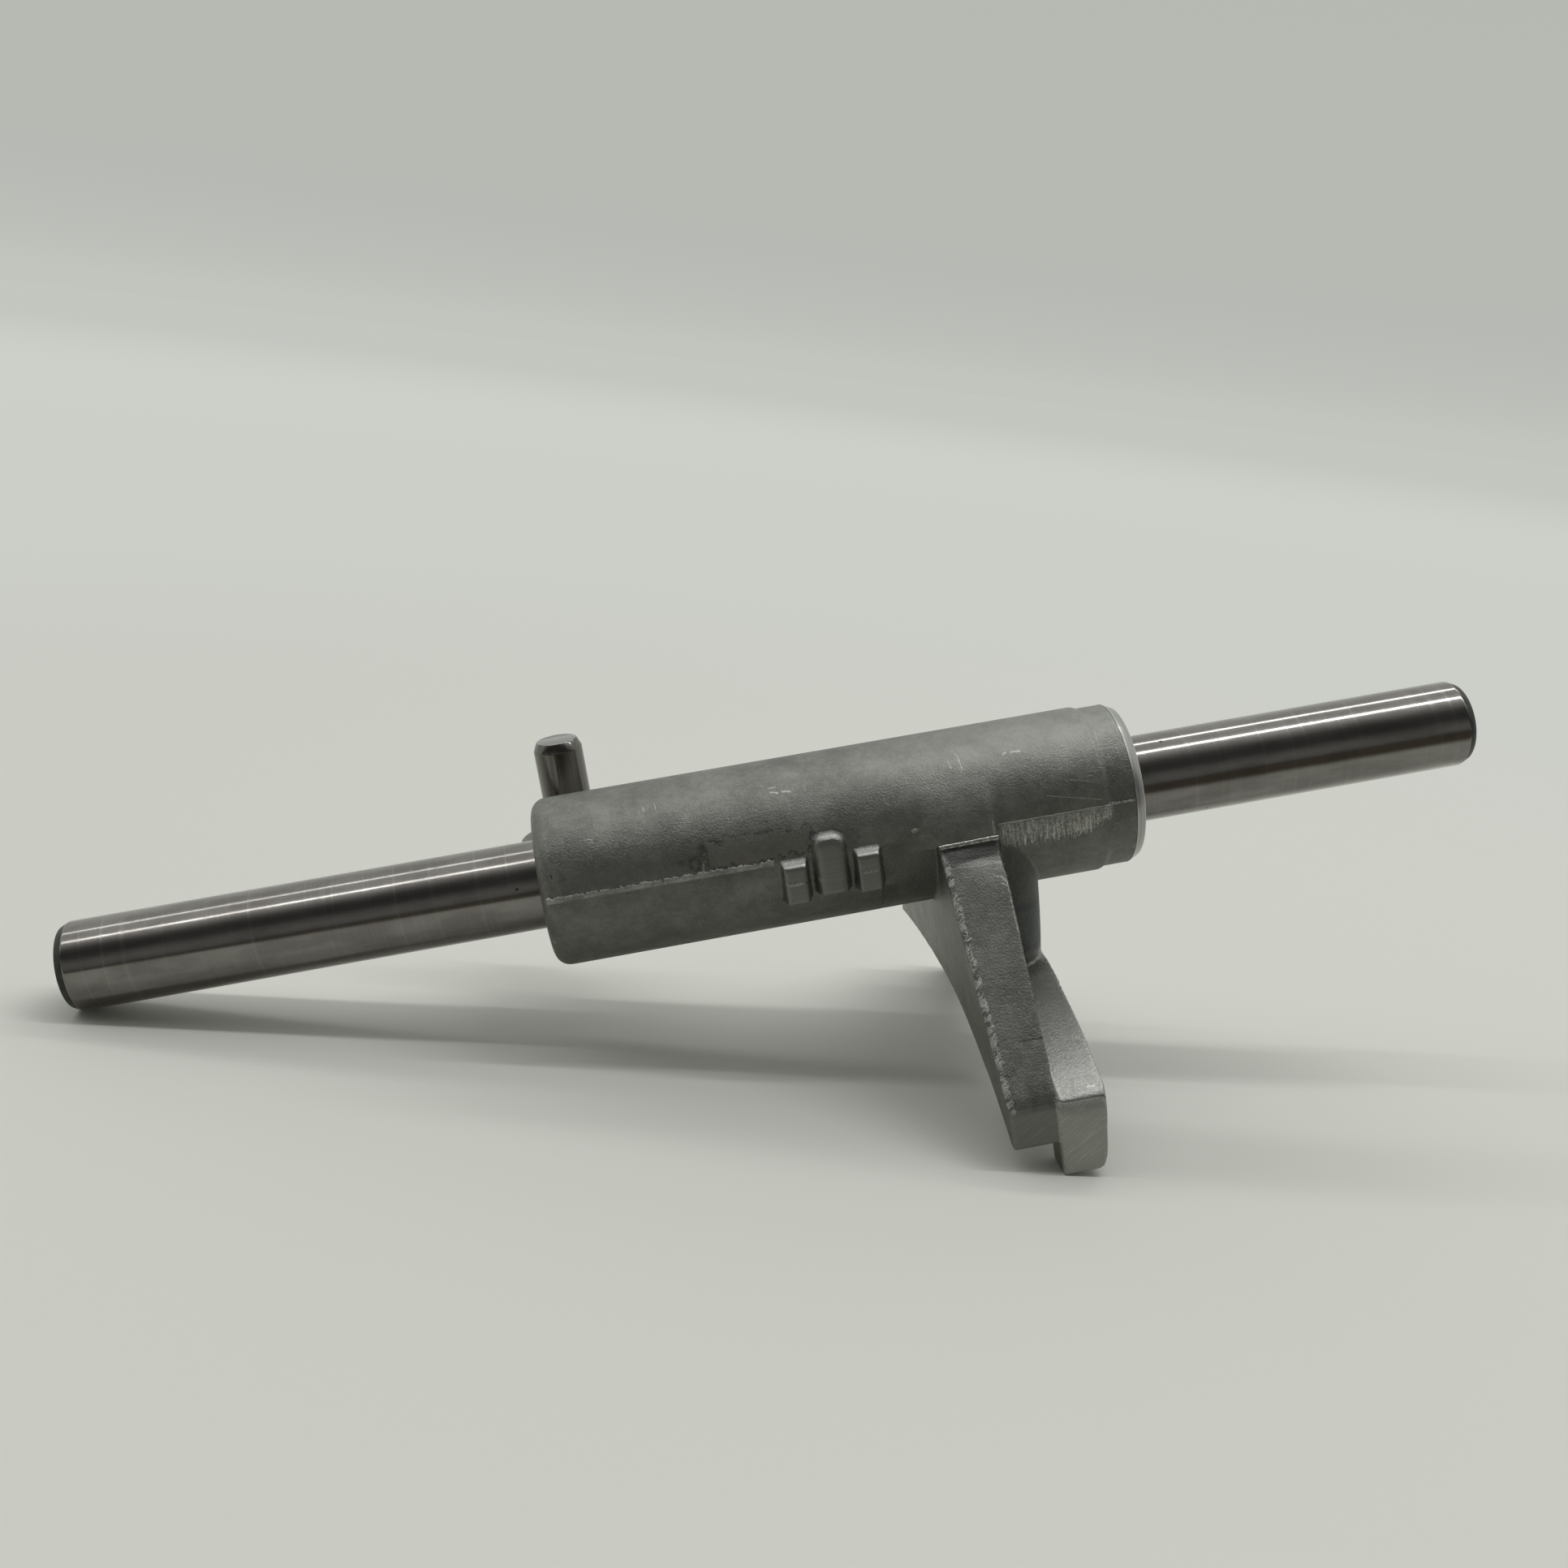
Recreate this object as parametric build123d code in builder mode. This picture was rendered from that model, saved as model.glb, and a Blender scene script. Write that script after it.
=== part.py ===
import os
from math import atan2, cos, degrees, sin, sqrt

from build123d import *

# Shift fork of a gearbox: a die-cast aluminium fork on a ground steel rail, with a
# steel dowel pin in a lug behind the boss.
# The piece is drawn along its rail, x along the rail, z up the pin, and is laid down
# as it comes to rest: on the left end of the rail and on both tips of the fork.
# All sizes are millimetres.

# Rail
rail_diameter = 14.0
rail_left_overhang = 73.5
rail_right_overhang = 57.5
rail_chamfer_depth = 0.7
rail_chamfer_length = 1.4

# Boss of the casting, which the rail passes through
boss_length = 94.0
boss_diameter = 26.6
boss_edge_radius = 2.4
rail_clearance = 0.02
collar_diameter = 25.8
collar_length = 5.7
collar_step_length = 0.5
collar_chamfer_length = 1.5
collar_chamfer_depth = 0.75

# Stiffening web, the broad near face of the fork
web_left = 60.6
web_thickness = 9.5
web_tip_thickness = 6.9
web_left_lean = 1.1
web_root_proud = 0.7
web_far_inset = 3.0
parting_drop = 0.6
recess_left = 62.5
recess_drop = 3.5
recess_depth = 1.6
recess_low_drop = 6.75
recess_arm = 1.3
recess_clearance = 0.3

# Fork plate with its two arms and pads
plate_overlap = 1.6
plate_tip_thickness = 6.9
plate_root_thickness = 8.4
span = 80.0
arm_tip_height = 33.7
web_tip_length = 5.6
pad_length = 10.5
pad_width = 5.5
pad_corner_radius = 2.0
pad_top_bevel_depth = 0.9
pad_top_bevel_height = 1.7
pad_top_drop = 0.9
pad_foot_draft = 0.3
throat_straight = 2.5
shelf_drop = 24.3
shelf_bulge = 0.9
throat_crest = 31.0
web_crest = 26.8
web_far_radius = 240.0
neck_top_width = 26.8
neck_bottom_width = 18.6
neck_belly = 1.5
neck_edge_radius = 5.8
neck_overlap = 1.0
neck_foot_depth = 3.0

# Detent pads on the near side of the boss
detent_reach = 15.0
detent_left = 36.7
detent_width = 3.4
detent_gap = 7.9
detent_top = 0.4
detent_bottom = -5.5
detent_side_draft = 1.0
detent_top_draft = 2.4
detent_overlap = 3.0
ridge_left = 41.5
ridge_width = 5.1
ridge_top = 4.4
ridge_bottom = -5.1
ridge_reach = 14.6
ridge_corner_radius = 2.0
ridge_flank_radius = 1.4

# Lug and dowel pin on the far side
pin_diameter = 8.0
pin_height = 16.3
pin_seat_depth = 9.5
pin_along = 5.1
pin_across = 18.0
pin_chamfer_depth = 0.67
pin_chamfer_length = 1.5
pin_clearance = 0.0
lug_diameter = 17.8
lug_top = 2.0
lug_bottom = -8.0

rail_radius = rail_diameter / 2
boss_radius = boss_diameter / 2
collar_radius = collar_diameter / 2
half_span = span / 2
pin_radius = pin_diameter / 2
lug_end = pin_along + lug_diameter / 2
plate_left = web_left + web_thickness - plate_overlap
rail_start = -rail_left_overhang
rail_end = boss_length + rail_right_overhang
pad_bottom = -(arm_tip_height + pad_length + pad_foot_draft)

# Resting place: the rail's left end edge and the pads' lower edges touch the floor.
rail_foot = rail_start + rail_chamfer_length
tilt = atan2(-rail_radius - pad_bottom, plate_left - rail_foot)
floor_level = sin(tilt) * rail_foot - cos(tilt) * rail_radius
left_reach = cos(tilt) * rail_start - sin(tilt) * (rail_radius - rail_chamfer_depth)
right_reach = cos(tilt) * rail_end + sin(tilt) * (rail_radius - rail_chamfer_depth)
rest_origin = Vector(-(left_reach + right_reach) / 2, 0, -floor_level)
along = Vector(cos(tilt), 0, sin(tilt))
upward = Vector(-sin(tilt), 0, cos(tilt))
aside = Vector(0, 1, 0)

# Level plane through the rail's axis, plane lengthwise upright through the axis, and
# plane square across the rail at the left end of the boss.
level = Plane(rest_origin, x_dir=along, z_dir=upward)
upright = Plane(rest_origin, x_dir=along, z_dir=-aside)
across = Plane(rest_origin, x_dir=aside, z_dir=along)
rail_axis = Axis(rest_origin, along)
cross_axis = Axis(rest_origin, aside)
up_axis = Axis(rest_origin, upward)


def bar_outline(start, end, radius, depth, length):
    """Half section of a round bar chamfered at both ends, lying along the sketch's x."""
    return [
        (start, 0),
        (start, radius - depth),
        (start + length, radius),
        (end - length, radius),
        (end, radius - depth),
        (end, 0),
    ]


with BuildPart() as shift_rail:
    with BuildSketch(upright):
        with BuildLine():
            Polyline(
                bar_outline(rail_start, rail_end, rail_radius, rail_chamfer_depth, rail_chamfer_length),
                close=True,
            )
        make_face()
    revolve(axis=rail_axis)

# Dowel pin, upright in the lug
pin_foot = level.from_local_coords((pin_along, pin_across, lug_top))
pin_axis = Axis(pin_foot, upward)
pin_plane = Plane(pin_foot, x_dir=upward, z_dir=-aside)
pin_seat = min(pin_seat_depth, lug_top - lug_bottom)
with BuildPart() as guide_pin:
    with BuildSketch(pin_plane):
        with BuildLine():
            Polyline(
                bar_outline(-pin_seat, pin_height, pin_radius, pin_chamfer_depth, pin_chamfer_length),
                close=True,
            )
        make_face()
    revolve(axis=pin_axis)

# Near face of the web: one flat from the parting line down to the tip.
web_root_half = boss_radius + web_root_proud
pad_top = -arm_tip_height

# Both inner edges of the fork run round the gear's centre.
throat_side = half_span - pad_width
throat_end = pad_bottom + throat_straight
throat_sag = -throat_crest - throat_end
throat_radius = (throat_side**2 + throat_sag**2) / (2 * throat_sag)
gear_centre = -throat_crest - throat_radius
web_radius = -web_crest - gear_centre
web_tip_bottom = pad_top - web_tip_length
web_corner = sqrt(web_radius**2 - (web_tip_bottom - gear_centre) ** 2)
web_far_edge = half_span - web_far_inset
web_far_drop = web_far_radius - sqrt(web_far_radius**2 - web_far_edge**2)
web_far_low = -web_crest - web_far_drop
web_mid_near = -web_corner / 2
web_mid_far = web_far_edge / 2

web_right_root = web_left + web_thickness
web_left_tip = web_left + web_left_lean
web_right_tip = web_left_tip + web_tip_thickness

# The recess runs to a V at the right face of the web. Its arms pass the near face.
near_slope = (half_span - web_root_half) / (arm_tip_height - parting_drop)
valley_near = web_root_half + near_slope * (recess_drop - parting_drop)
recess_low_near = web_root_half + near_slope * (recess_low_drop - parting_drop)
valley_deep = valley_near - recess_depth
recess_end_top = (
    -valley_deep - recess_arm * (web_root_half - valley_deep),
    -recess_drop + recess_arm * (recess_drop - parting_drop),
)
recess_end_low = (
    -valley_deep - recess_arm * (recess_low_near - valley_deep),
    -recess_drop - recess_arm * (recess_low_drop - recess_drop),
)

with BuildPart() as web:
    with BuildSketch(across.offset(web_left)):
        with BuildLine():
            Polyline(
                (web_far_edge, web_far_low),
                (web_root_half, -parting_drop),
                (-web_root_half, -parting_drop),
                (-half_span, pad_top),
                (-half_span, web_tip_bottom),
                (-web_corner, web_tip_bottom),
            )
            ThreePointArc(
                (-web_corner, web_tip_bottom),
                (web_mid_near, gear_centre + sqrt(web_radius**2 - web_mid_near**2)),
                (0, -web_crest),
            )
            ThreePointArc(
                (0, -web_crest),
                (web_mid_far, -web_crest - web_far_radius + sqrt(web_far_radius**2 - web_mid_far**2)),
                (web_far_edge, web_far_low),
            )
        make_face()
    extrude(amount=web_thickness)
    # The web thins and leans from root to tip.
    with BuildSketch(upright.offset(-half_span)):
        with BuildLine():
            Polyline(
                (web_left, -parting_drop),
                (web_right_root, -parting_drop),
                (web_right_tip, web_tip_bottom),
                (web_left_tip, web_tip_bottom),
                close=True,
            )
        make_face()
    extrude(amount=span, mode=Mode.INTERSECT)
    # Shallow V recess at the root of the near face, deepest at its right end
    with BuildSketch(across.offset(recess_left)):
        with BuildLine():
            Polyline(
                (-valley_near, -recess_drop),
                (-web_root_half - recess_clearance, -parting_drop),
                (-recess_low_near - recess_clearance, -recess_low_drop),
                close=True,
            )
        make_face()
    with BuildSketch(across.offset(web_right_root)):
        with BuildLine():
            Polyline((-valley_deep, -recess_drop), recess_end_top, recess_end_low, close=True)
        make_face()
    loft(ruled=True, mode=Mode.SUBTRACT)

# Fork plate: an arched bar with a pad at each end.
plate_right = plate_left + plate_root_thickness
plate_tip_right = plate_left + plate_tip_thickness
shelf_half = neck_bottom_width / 2
shelf_mid = (shelf_half + half_span) / 2
bevel_top = pad_top - pad_top_drop
shelf_end = bevel_top + pad_top_bevel_height
shelf_run = half_span - pad_top_bevel_depth
shelf_middle = (-shelf_drop + shelf_end) / 2 + shelf_bulge
with BuildPart() as fork_plate:
    with BuildSketch(across.offset(plate_left)):
        with BuildLine():
            ThreePointArc(
                (-throat_side, throat_end), (0, -throat_crest), (throat_side, throat_end)
            )
            for side in (-1, 1):
                Polyline(
                    (side * throat_side, throat_end),
                    (side * throat_side, pad_bottom),
                    (side * half_span, pad_bottom),
                    (side * half_span, bevel_top),
                    (side * shelf_run, shelf_end),
                )
                ThreePointArc(
                    (side * shelf_run, shelf_end),
                    (side * shelf_mid, shelf_middle),
                    (side * shelf_half, -shelf_drop),
                )
            Line((-shelf_half, -shelf_drop), (shelf_half, -shelf_drop))
        make_face()
    extrude(amount=plate_right - plate_left)
    # The plate thins from its root to the pads.
    with BuildSketch(upright.offset(-half_span)):
        with BuildLine():
            Polyline(
                (plate_left, -shelf_drop),
                (plate_right, -shelf_drop),
                (plate_tip_right, pad_bottom),
                (plate_left, pad_bottom),
                close=True,
            )
        make_face()
    extrude(amount=span, mode=Mode.INTERSECT)
    pad_foot_edges = fork_plate.edges().filter_by(cross_axis).group_by(up_axis)[0]
    fillet(pad_foot_edges.sort_by(rail_axis)[-2:], radius=pad_corner_radius)

# Neck between boss and plate, bellied and narrower at the plate, with its right
# corners rounded.
neck_left = web_right_root - neck_overlap
neck_foot = -shelf_drop - neck_foot_depth
neck_top_half = neck_top_width / 2
neck_foot_half = neck_bottom_width / 2
neck_middle = ((neck_top_half + neck_foot_half) / 2 + neck_belly, neck_foot / 2)
with BuildPart() as neck:
    with BuildSketch(across.offset(neck_left)):
        with BuildLine():
            Line((-neck_top_half, 0), (neck_top_half, 0))
            Line((-neck_foot_half, neck_foot), (neck_foot_half, neck_foot))
            for side in (-1, 1):
                ThreePointArc(
                    (side * neck_top_half, 0),
                    (side * neck_middle[0], neck_middle[1]),
                    (side * neck_foot_half, neck_foot),
                )
        make_face()
    extrude(amount=plate_right - neck_left)
    right_face = neck.faces().sort_by(rail_axis)[-1]
    fillet(right_face.edges().filter_by(cross_axis, reverse=True), radius=neck_edge_radius)
    # Its top ends at the parting line.
    with BuildSketch(level.offset(-parting_drop)):
        with Locations((plate_right, 0)):
            Rectangle(2 * plate_right, span)
    extrude(amount=neck_top_width, mode=Mode.SUBTRACT)

with BuildPart() as fork_casting:
    # Boss, turned about the rail's axis, with a shallow step before its machined collar
    collar_start = boss_length - collar_length
    with BuildSketch(upright):
        with BuildLine():
            Polyline(
                (0, 0),
                (0, boss_radius - boss_edge_radius),
            )
            RadiusArc(
                (0, boss_radius - boss_edge_radius),
                (boss_edge_radius, boss_radius),
                boss_edge_radius,
            )
            Polyline(
                (boss_edge_radius, boss_radius),
                (collar_start - collar_step_length, boss_radius),
                (collar_start, collar_radius),
                (boss_length - collar_chamfer_length, collar_radius),
                (boss_length, collar_radius - collar_chamfer_depth),
                (boss_length, 0),
                (0, 0),
            )
        make_face()
    revolve(axis=rail_axis)
    add(neck)
    add(web)
    add(fork_plate)
    # Detent pads: two drafted blocks, wider where they meet the boss
    detent_root = boss_radius - detent_overlap
    for left in (detent_left, detent_left + detent_width + detent_gap):
        with BuildSketch(upright.offset(detent_reach)):
            with Locations((left + detent_width / 2, (detent_top + detent_bottom) / 2)):
                Rectangle(detent_width, detent_top - detent_bottom)
        with BuildSketch(upright.offset(detent_root)):
            with BuildLine():
                Polyline(
                    (left - detent_side_draft, detent_bottom),
                    (left + detent_width + detent_side_draft, detent_bottom),
                    (left + detent_width + detent_side_draft, detent_top + detent_top_draft),
                    (left - detent_side_draft, detent_top + detent_top_draft),
                    close=True,
                )
            make_face()
        loft()
    # Machined detent ridge between them, arched at its top
    with BuildSketch(upright.offset(detent_root)):
        with BuildLine():
            Polyline(
                (ridge_left, ridge_bottom),
                (ridge_left, ridge_top - ridge_corner_radius),
            )
            RadiusArc(
                (ridge_left, ridge_top - ridge_corner_radius),
                (ridge_left + ridge_corner_radius, ridge_top),
                ridge_corner_radius,
            )
            Line(
                (ridge_left + ridge_corner_radius, ridge_top),
                (ridge_left + ridge_width - ridge_corner_radius, ridge_top),
            )
            RadiusArc(
                (ridge_left + ridge_width - ridge_corner_radius, ridge_top),
                (ridge_left + ridge_width, ridge_top - ridge_corner_radius),
                ridge_corner_radius,
            )
            Polyline(
                (ridge_left + ridge_width, ridge_top - ridge_corner_radius),
                (ridge_left + ridge_width, ridge_bottom),
                (ridge_left, ridge_bottom),
            )
        make_face()
    extrude(amount=ridge_reach - detent_root)
    ridge_edges = fork_casting.edges(Select.LAST).filter_by(up_axis).group_by(cross_axis)[0]
    fillet(ridge_edges.sort_by(rail_axis)[-1], radius=ridge_flank_radius)
    # Lug for the dowel pin, run into the boss
    with BuildSketch(level.offset(lug_bottom)):
        with Locations((pin_along, pin_across)):
            Circle(lug_diameter / 2)
        with Locations((lug_end / 2, pin_across / 2)):
            Rectangle(lug_end, pin_across)
    extrude(amount=lug_top - lug_bottom)
    # Bore for the rail and seat for the pin
    with BuildSketch(across.offset(-1)):
        Circle(rail_radius + rail_clearance)
    extrude(amount=boss_length + 2, mode=Mode.SUBTRACT)
    with BuildSketch(level.offset(lug_top - pin_seat)):
        with Locations((pin_along, pin_across)):
            Circle(pin_radius + pin_clearance)
    extrude(amount=pin_seat + 1, mode=Mode.SUBTRACT)

os.makedirs("parts", exist_ok=True)

shift_rail.part.label = "shift_rail"
export_step(shift_rail.part, "parts/shift_rail.step")

guide_pin.part.label = "guide_pin"
export_step(guide_pin.part, "parts/guide_pin.step")

fork_casting.part.label = "fork_casting"
export_step(fork_casting.part, "parts/fork_casting.step")

print("tilt", round(degrees(tilt), 2), "origin", rest_origin)
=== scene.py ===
import math

import bmesh
import bpy
import numpy as np
from mathutils import Matrix, Vector


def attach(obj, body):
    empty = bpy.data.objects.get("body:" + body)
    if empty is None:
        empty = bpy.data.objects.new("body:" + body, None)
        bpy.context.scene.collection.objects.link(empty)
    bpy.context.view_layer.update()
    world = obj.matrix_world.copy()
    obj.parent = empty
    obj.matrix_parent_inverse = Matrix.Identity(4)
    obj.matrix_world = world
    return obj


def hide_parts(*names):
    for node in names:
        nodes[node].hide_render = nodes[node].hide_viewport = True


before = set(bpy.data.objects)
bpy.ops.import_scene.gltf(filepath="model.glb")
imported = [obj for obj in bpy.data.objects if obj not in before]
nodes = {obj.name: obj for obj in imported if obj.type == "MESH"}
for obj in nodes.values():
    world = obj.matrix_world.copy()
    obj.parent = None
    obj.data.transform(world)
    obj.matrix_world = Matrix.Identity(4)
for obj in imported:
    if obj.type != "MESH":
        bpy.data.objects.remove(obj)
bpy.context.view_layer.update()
print("frame loaded:", ", ".join(sorted(nodes)))

mm = 0.001

# The piece is drawn along its rail: x along it, y to the back, z up the pin, zero at
# the boss's left end. It lies tipped on the floor by restTilt.
layout = {
    "restTilt": math.atan2(37.5, 140.6),
    "origin": (-37.6827, 0.0, 25.3441),  # boss's left end, row frame, mm
}
tiltTurn = Matrix.Rotation(-layout["restTilt"], 4, "Y")
layoutToRow = Matrix.Translation(Vector(layout["origin"]) * mm) @ tiltTurn @ Matrix.Scale(mm, 4)

# Camera
shot = {
    "place": (-0.03987, -0.24491, 0.10957),
    "forward": (0.14952, 0.95574, -0.25339),
    "up": (-0.07948, 0.26705, 0.96040),
    "focalPixels": 2000.0,
    "framePixels": 1932.0,
    "sensor": 36.0,
}


def makeCamera():
    data = bpy.data.cameras.new("photoCamera")
    data.sensor_width = shot["sensor"]
    data.lens = shot["sensor"] * shot["focalPixels"] / shot["framePixels"]
    data.clip_start = 0.01
    data.clip_end = 50
    camera = bpy.data.objects.new("photoCamera", data)
    forward = Vector(shot["forward"]).normalized()
    up = Vector(shot["up"]).normalized()
    right = forward.cross(up)
    turn = Matrix((right, up, -forward)).transposed().to_4x4()
    camera.matrix_world = Matrix.Translation(shot["place"]) @ turn
    bpy.context.collection.objects.link(camera)
    bpy.context.scene.camera = camera


makeCamera()
print("camera placed")


# Node helpers
def addNode(tree, kind, **values):
    node = tree.nodes.new(kind)
    for key, value in values.items():
        setattr(node, key, value)
    return node


def plug(tree, source, target):
    # A number or tuple is set on the socket, anything else is linked to it
    if isinstance(source, (int, float, tuple, list)):
        target.default_value = source
    else:
        tree.links.new(source, target)


def wired(tree, kind, inputs, **values):
    # The outputs of a new node, its inputs plugged by name or number
    node = addNode(tree, kind, **values)
    for name, source in inputs.items():
        plug(tree, source, node.inputs[name])
    return node.outputs


def newMaterial(name):
    material = bpy.data.materials.new(name)
    material.use_nodes = True
    tree = material.node_tree
    tree.nodes.clear()
    output = tree.nodes.new("ShaderNodeOutputMaterial")
    shader = tree.nodes.new("ShaderNodeBsdfPrincipled")
    tree.links.new(shader.outputs[0], output.inputs[0])
    return material, tree, shader


def makeMetal(tree, shader, colour, rough, normal=None):
    shader.inputs["Metallic"].default_value = 1.0
    plug(tree, colour, shader.inputs["Base Color"])
    plug(tree, rough, shader.inputs["Roughness"])
    if normal is not None:
        plug(tree, normal, shader.inputs["Normal"])


def mathNode(tree, operation, *values):
    return wired(tree, "ShaderNodeMath", dict(enumerate(values)), operation=operation)[0]


def plus(tree, first, second):
    return mathNode(tree, "ADD", first, second)


def minus(tree, first, second):
    return mathNode(tree, "SUBTRACT", first, second)


def scaled(tree, value, factor, shift=0.0):
    return mathNode(tree, "MULTIPLY_ADD", value, factor, shift)


def times(tree, *values):
    product = values[0]
    for value in values[1:]:
        product = mathNode(tree, "MULTIPLY", product, value)
    return product


def most(tree, *values):
    top = values[0]
    for value in values[1:]:
        top = mathNode(tree, "MAXIMUM", top, value)
    return top


def ramp(tree, value, low, high, out0=0.0, out1=1.0):
    names = ("Value", "From Min", "From Max", "To Min", "To Max")
    inputs = dict(zip(names, (value, low, high, out0, out1)))
    return wired(tree, "ShaderNodeMapRange", inputs, clamp=True, interpolation_type="SMOOTHSTEP")["Result"]


def between(tree, value, low, high, soft):
    # 1 from low to high, fading over soft outside
    rise = ramp(tree, value, low - soft, low)
    fall = ramp(tree, value, high, high + soft, 1.0, 0.0)
    return times(tree, rise, fall)


def noise(tree, vector, scale, detail=2.0, rough=0.5):
    inputs = {"Vector": vector, "Scale": scale, "Detail": detail, "Roughness": rough}
    return wired(tree, "ShaderNodeTexNoise", inputs)["Fac"]


def stretched(tree, vector, scale, turn=(0, 0, 0)):
    return wired(tree, "ShaderNodeMapping", {"Rotation": turn, "Scale": scale, "Vector": vector})["Vector"]


def drawnNoise(tree, vector, scale, detail, rough, turn=(0, 0, 0)):
    # Noise with its own scale along each axis
    return noise(tree, stretched(tree, vector, scale, turn), 1.0, detail, rough)


def mixColour(tree, factor, first, second):
    return wired(tree, "ShaderNodeMix", {0: factor, 6: first, 7: second}, data_type="RGBA")[2]


def laid(tree, colour, over, *masks):
    # The colour with another laid over it, as strongly as the masks say together
    return mixColour(tree, times(tree, *masks), colour, over)


def shaded(colour, factor):
    return tuple(value * factor for value in colour[:3]) + (1,)


def bump(tree, height, distance, strength=1.0, normal=None):
    inputs = {"Strength": strength, "Distance": distance, "Height": height}
    if normal is not None:
        inputs["Normal"] = normal
    return wired(tree, "ShaderNodeBump", inputs)["Normal"]


def axesOf(tree, vector):
    return wired(tree, "ShaderNodeSeparateXYZ", {0: vector})


def joined(tree, x=0.0, y=0.0, z=0.0):
    return wired(tree, "ShaderNodeCombineXYZ", {0: x, 1: y, 2: z})[0]


def reachOf(tree, first, second):
    return mathNode(tree, "POWER", scaled(tree, first, first, times(tree, second, second)), 0.5)


def vectorNode(tree, operation, first, second=(0, 0, 0)):
    # For SCALE the second is a number
    inputs = {0: first, "Scale" if operation == "SCALE" else 1: second}
    outputs = wired(tree, "ShaderNodeVectorMath", inputs, operation=operation)
    return outputs["Value" if operation in ("DOT_PRODUCT", "LENGTH") else "Vector"]


def layoutCoords(tree):
    # Object coordinates turned into the layout's own millimetres
    coords = addNode(tree, "ShaderNodeTexCoord")
    inputs = {
        "Location": [value * mm for value in layout["origin"]],
        "Rotation": (0, -layout["restTilt"], 0),
        "Scale": (mm, mm, mm),
        "Vector": coords.outputs["Object"],
    }
    return wired(tree, "ShaderNodeMapping", inputs, vector_type="TEXTURE")["Vector"]


def newSockets(tree, direction, sockets):
    for label, kind, *value in sockets:
        socket = tree.interface.new_socket(label, in_out=direction, socket_type="NodeSocket" + kind)
        if value:
            socket.default_value = value[0]


def newGroup(name, inputs, outputs, kind="ShaderNodeTree"):
    group = bpy.data.node_groups.new(name, kind)
    newSockets(group, "INPUT", inputs)
    newSockets(group, "OUTPUT", outputs)
    return group, group.nodes.new("NodeGroupInput").outputs, group.nodes.new("NodeGroupOutput").inputs


def useGroup(tree, group, **values):
    return wired(tree, "ShaderNodeGroup", values, node_tree=group)


# Effects that several finishes share
grainScales = {"fine": 4.2, "coarse": 0.9, "slow": 0.16}


def makeGrainGroup():
    # Fine skin of a die casting: soft pits over slow unevenness
    group, given, result = newGroup(
        "castGrain", (("Vector", "Vector"), ("Size", "Float", 1.0)), (("Height", "Float"), ("Tone", "Float"))
    )
    scale = mathNode(group, "DIVIDE", 1.0, given["Size"])
    fine = noise(group, given["Vector"], times(group, scale, grainScales["fine"]), 3.0, 0.6)
    coarse = noise(group, given["Vector"], times(group, scale, grainScales["coarse"]), 4.0, 0.6)
    slow = noise(group, given["Vector"], times(group, scale, grainScales["slow"]), 5.0, 0.62)
    plug(group, scaled(group, coarse, 0.8, fine), result["Height"])
    tone = scaled(group, fine, 0.22, times(group, coarse, 0.26))
    plug(group, scaled(group, slow, 0.52, tone), result["Tone"])
    return group


def makeToolLinesGroup():
    # Fine parallel tool or grinding lines along the vector's own x
    group, given, result = newGroup(
        "toolLines",
        (("Vector", "Vector"), ("Pitch", "Float", 0.1), ("Length", "Float", 8.0)),
        (("Height", "Float"), ("Bright", "Float")),
    )
    x, y, z = axesOf(group, given["Vector"])
    along = mathNode(group, "DIVIDE", x, given["Length"])
    across, upward = (mathNode(group, "DIVIDE", axis, given["Pitch"]) for axis in (y, z))
    drawn = joined(group, along, across, upward)
    lines = noise(group, drawn, 0.5, 3.0, 0.65)
    broad = noise(group, drawn, 0.11, 2.0, 0.5)
    plug(group, scaled(group, broad, 0.6, lines), result["Height"])
    mixed = scaled(group, broad, 0.5, times(group, lines, 0.5))
    plug(group, ramp(group, mixed, 0.5, 0.68), result["Bright"])
    return group


def makeMarkGroup():
    # A scratch, nick or dent: 1 within Width of the line between two points of the x-z plane
    group, given, result = newGroup(
        "scratchMark",
        (("Vector", "Vector"), ("From", "Vector"), ("To", "Vector"), ("Width", "Float", 0.1)),
        (("Mask", "Float"),),
    )
    point, start, end = (given[name] for name in ("Vector", "From", "To"))
    flat = vectorNode(group, "MULTIPLY", point, (1, 0, 1))
    along = vectorNode(group, "SUBTRACT", end, start)
    offset = vectorNode(group, "SUBTRACT", flat, start)
    square = vectorNode(group, "DOT_PRODUCT", along, along)
    share = mathNode(group, "DIVIDE", vectorNode(group, "DOT_PRODUCT", offset, along), square)
    share = mathNode(group, "MINIMUM", most(group, share, 0.0), 1.0)
    foot = vectorNode(group, "SCALE", along, share)
    gap = vectorNode(group, "LENGTH", vectorNode(group, "SUBTRACT", offset, foot))
    broken = ramp(group, noise(group, point, 3.4, 3.0, 0.75), 0.36, 0.62, 0.25, 1.5)
    width = times(group, given["Width"], broken)
    plug(group, ramp(group, gap, times(group, width, 0.5), width, 1.0, 0.0), result["Mask"])
    return group


grainGroup = makeGrainGroup()
toolLinesGroup = makeToolLinesGroup()
markGroup = makeMarkGroup()


def toolLines(tree, vector, pitch, length, lean=0.0):
    # Lines along x, leaning by some radians in the x-z plane
    if lean:
        vector = stretched(tree, vector, (1, 1, 1), (0, lean, 0))
    return useGroup(tree, toolLinesGroup, Vector=vector, Pitch=pitch, Length=length)


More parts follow.
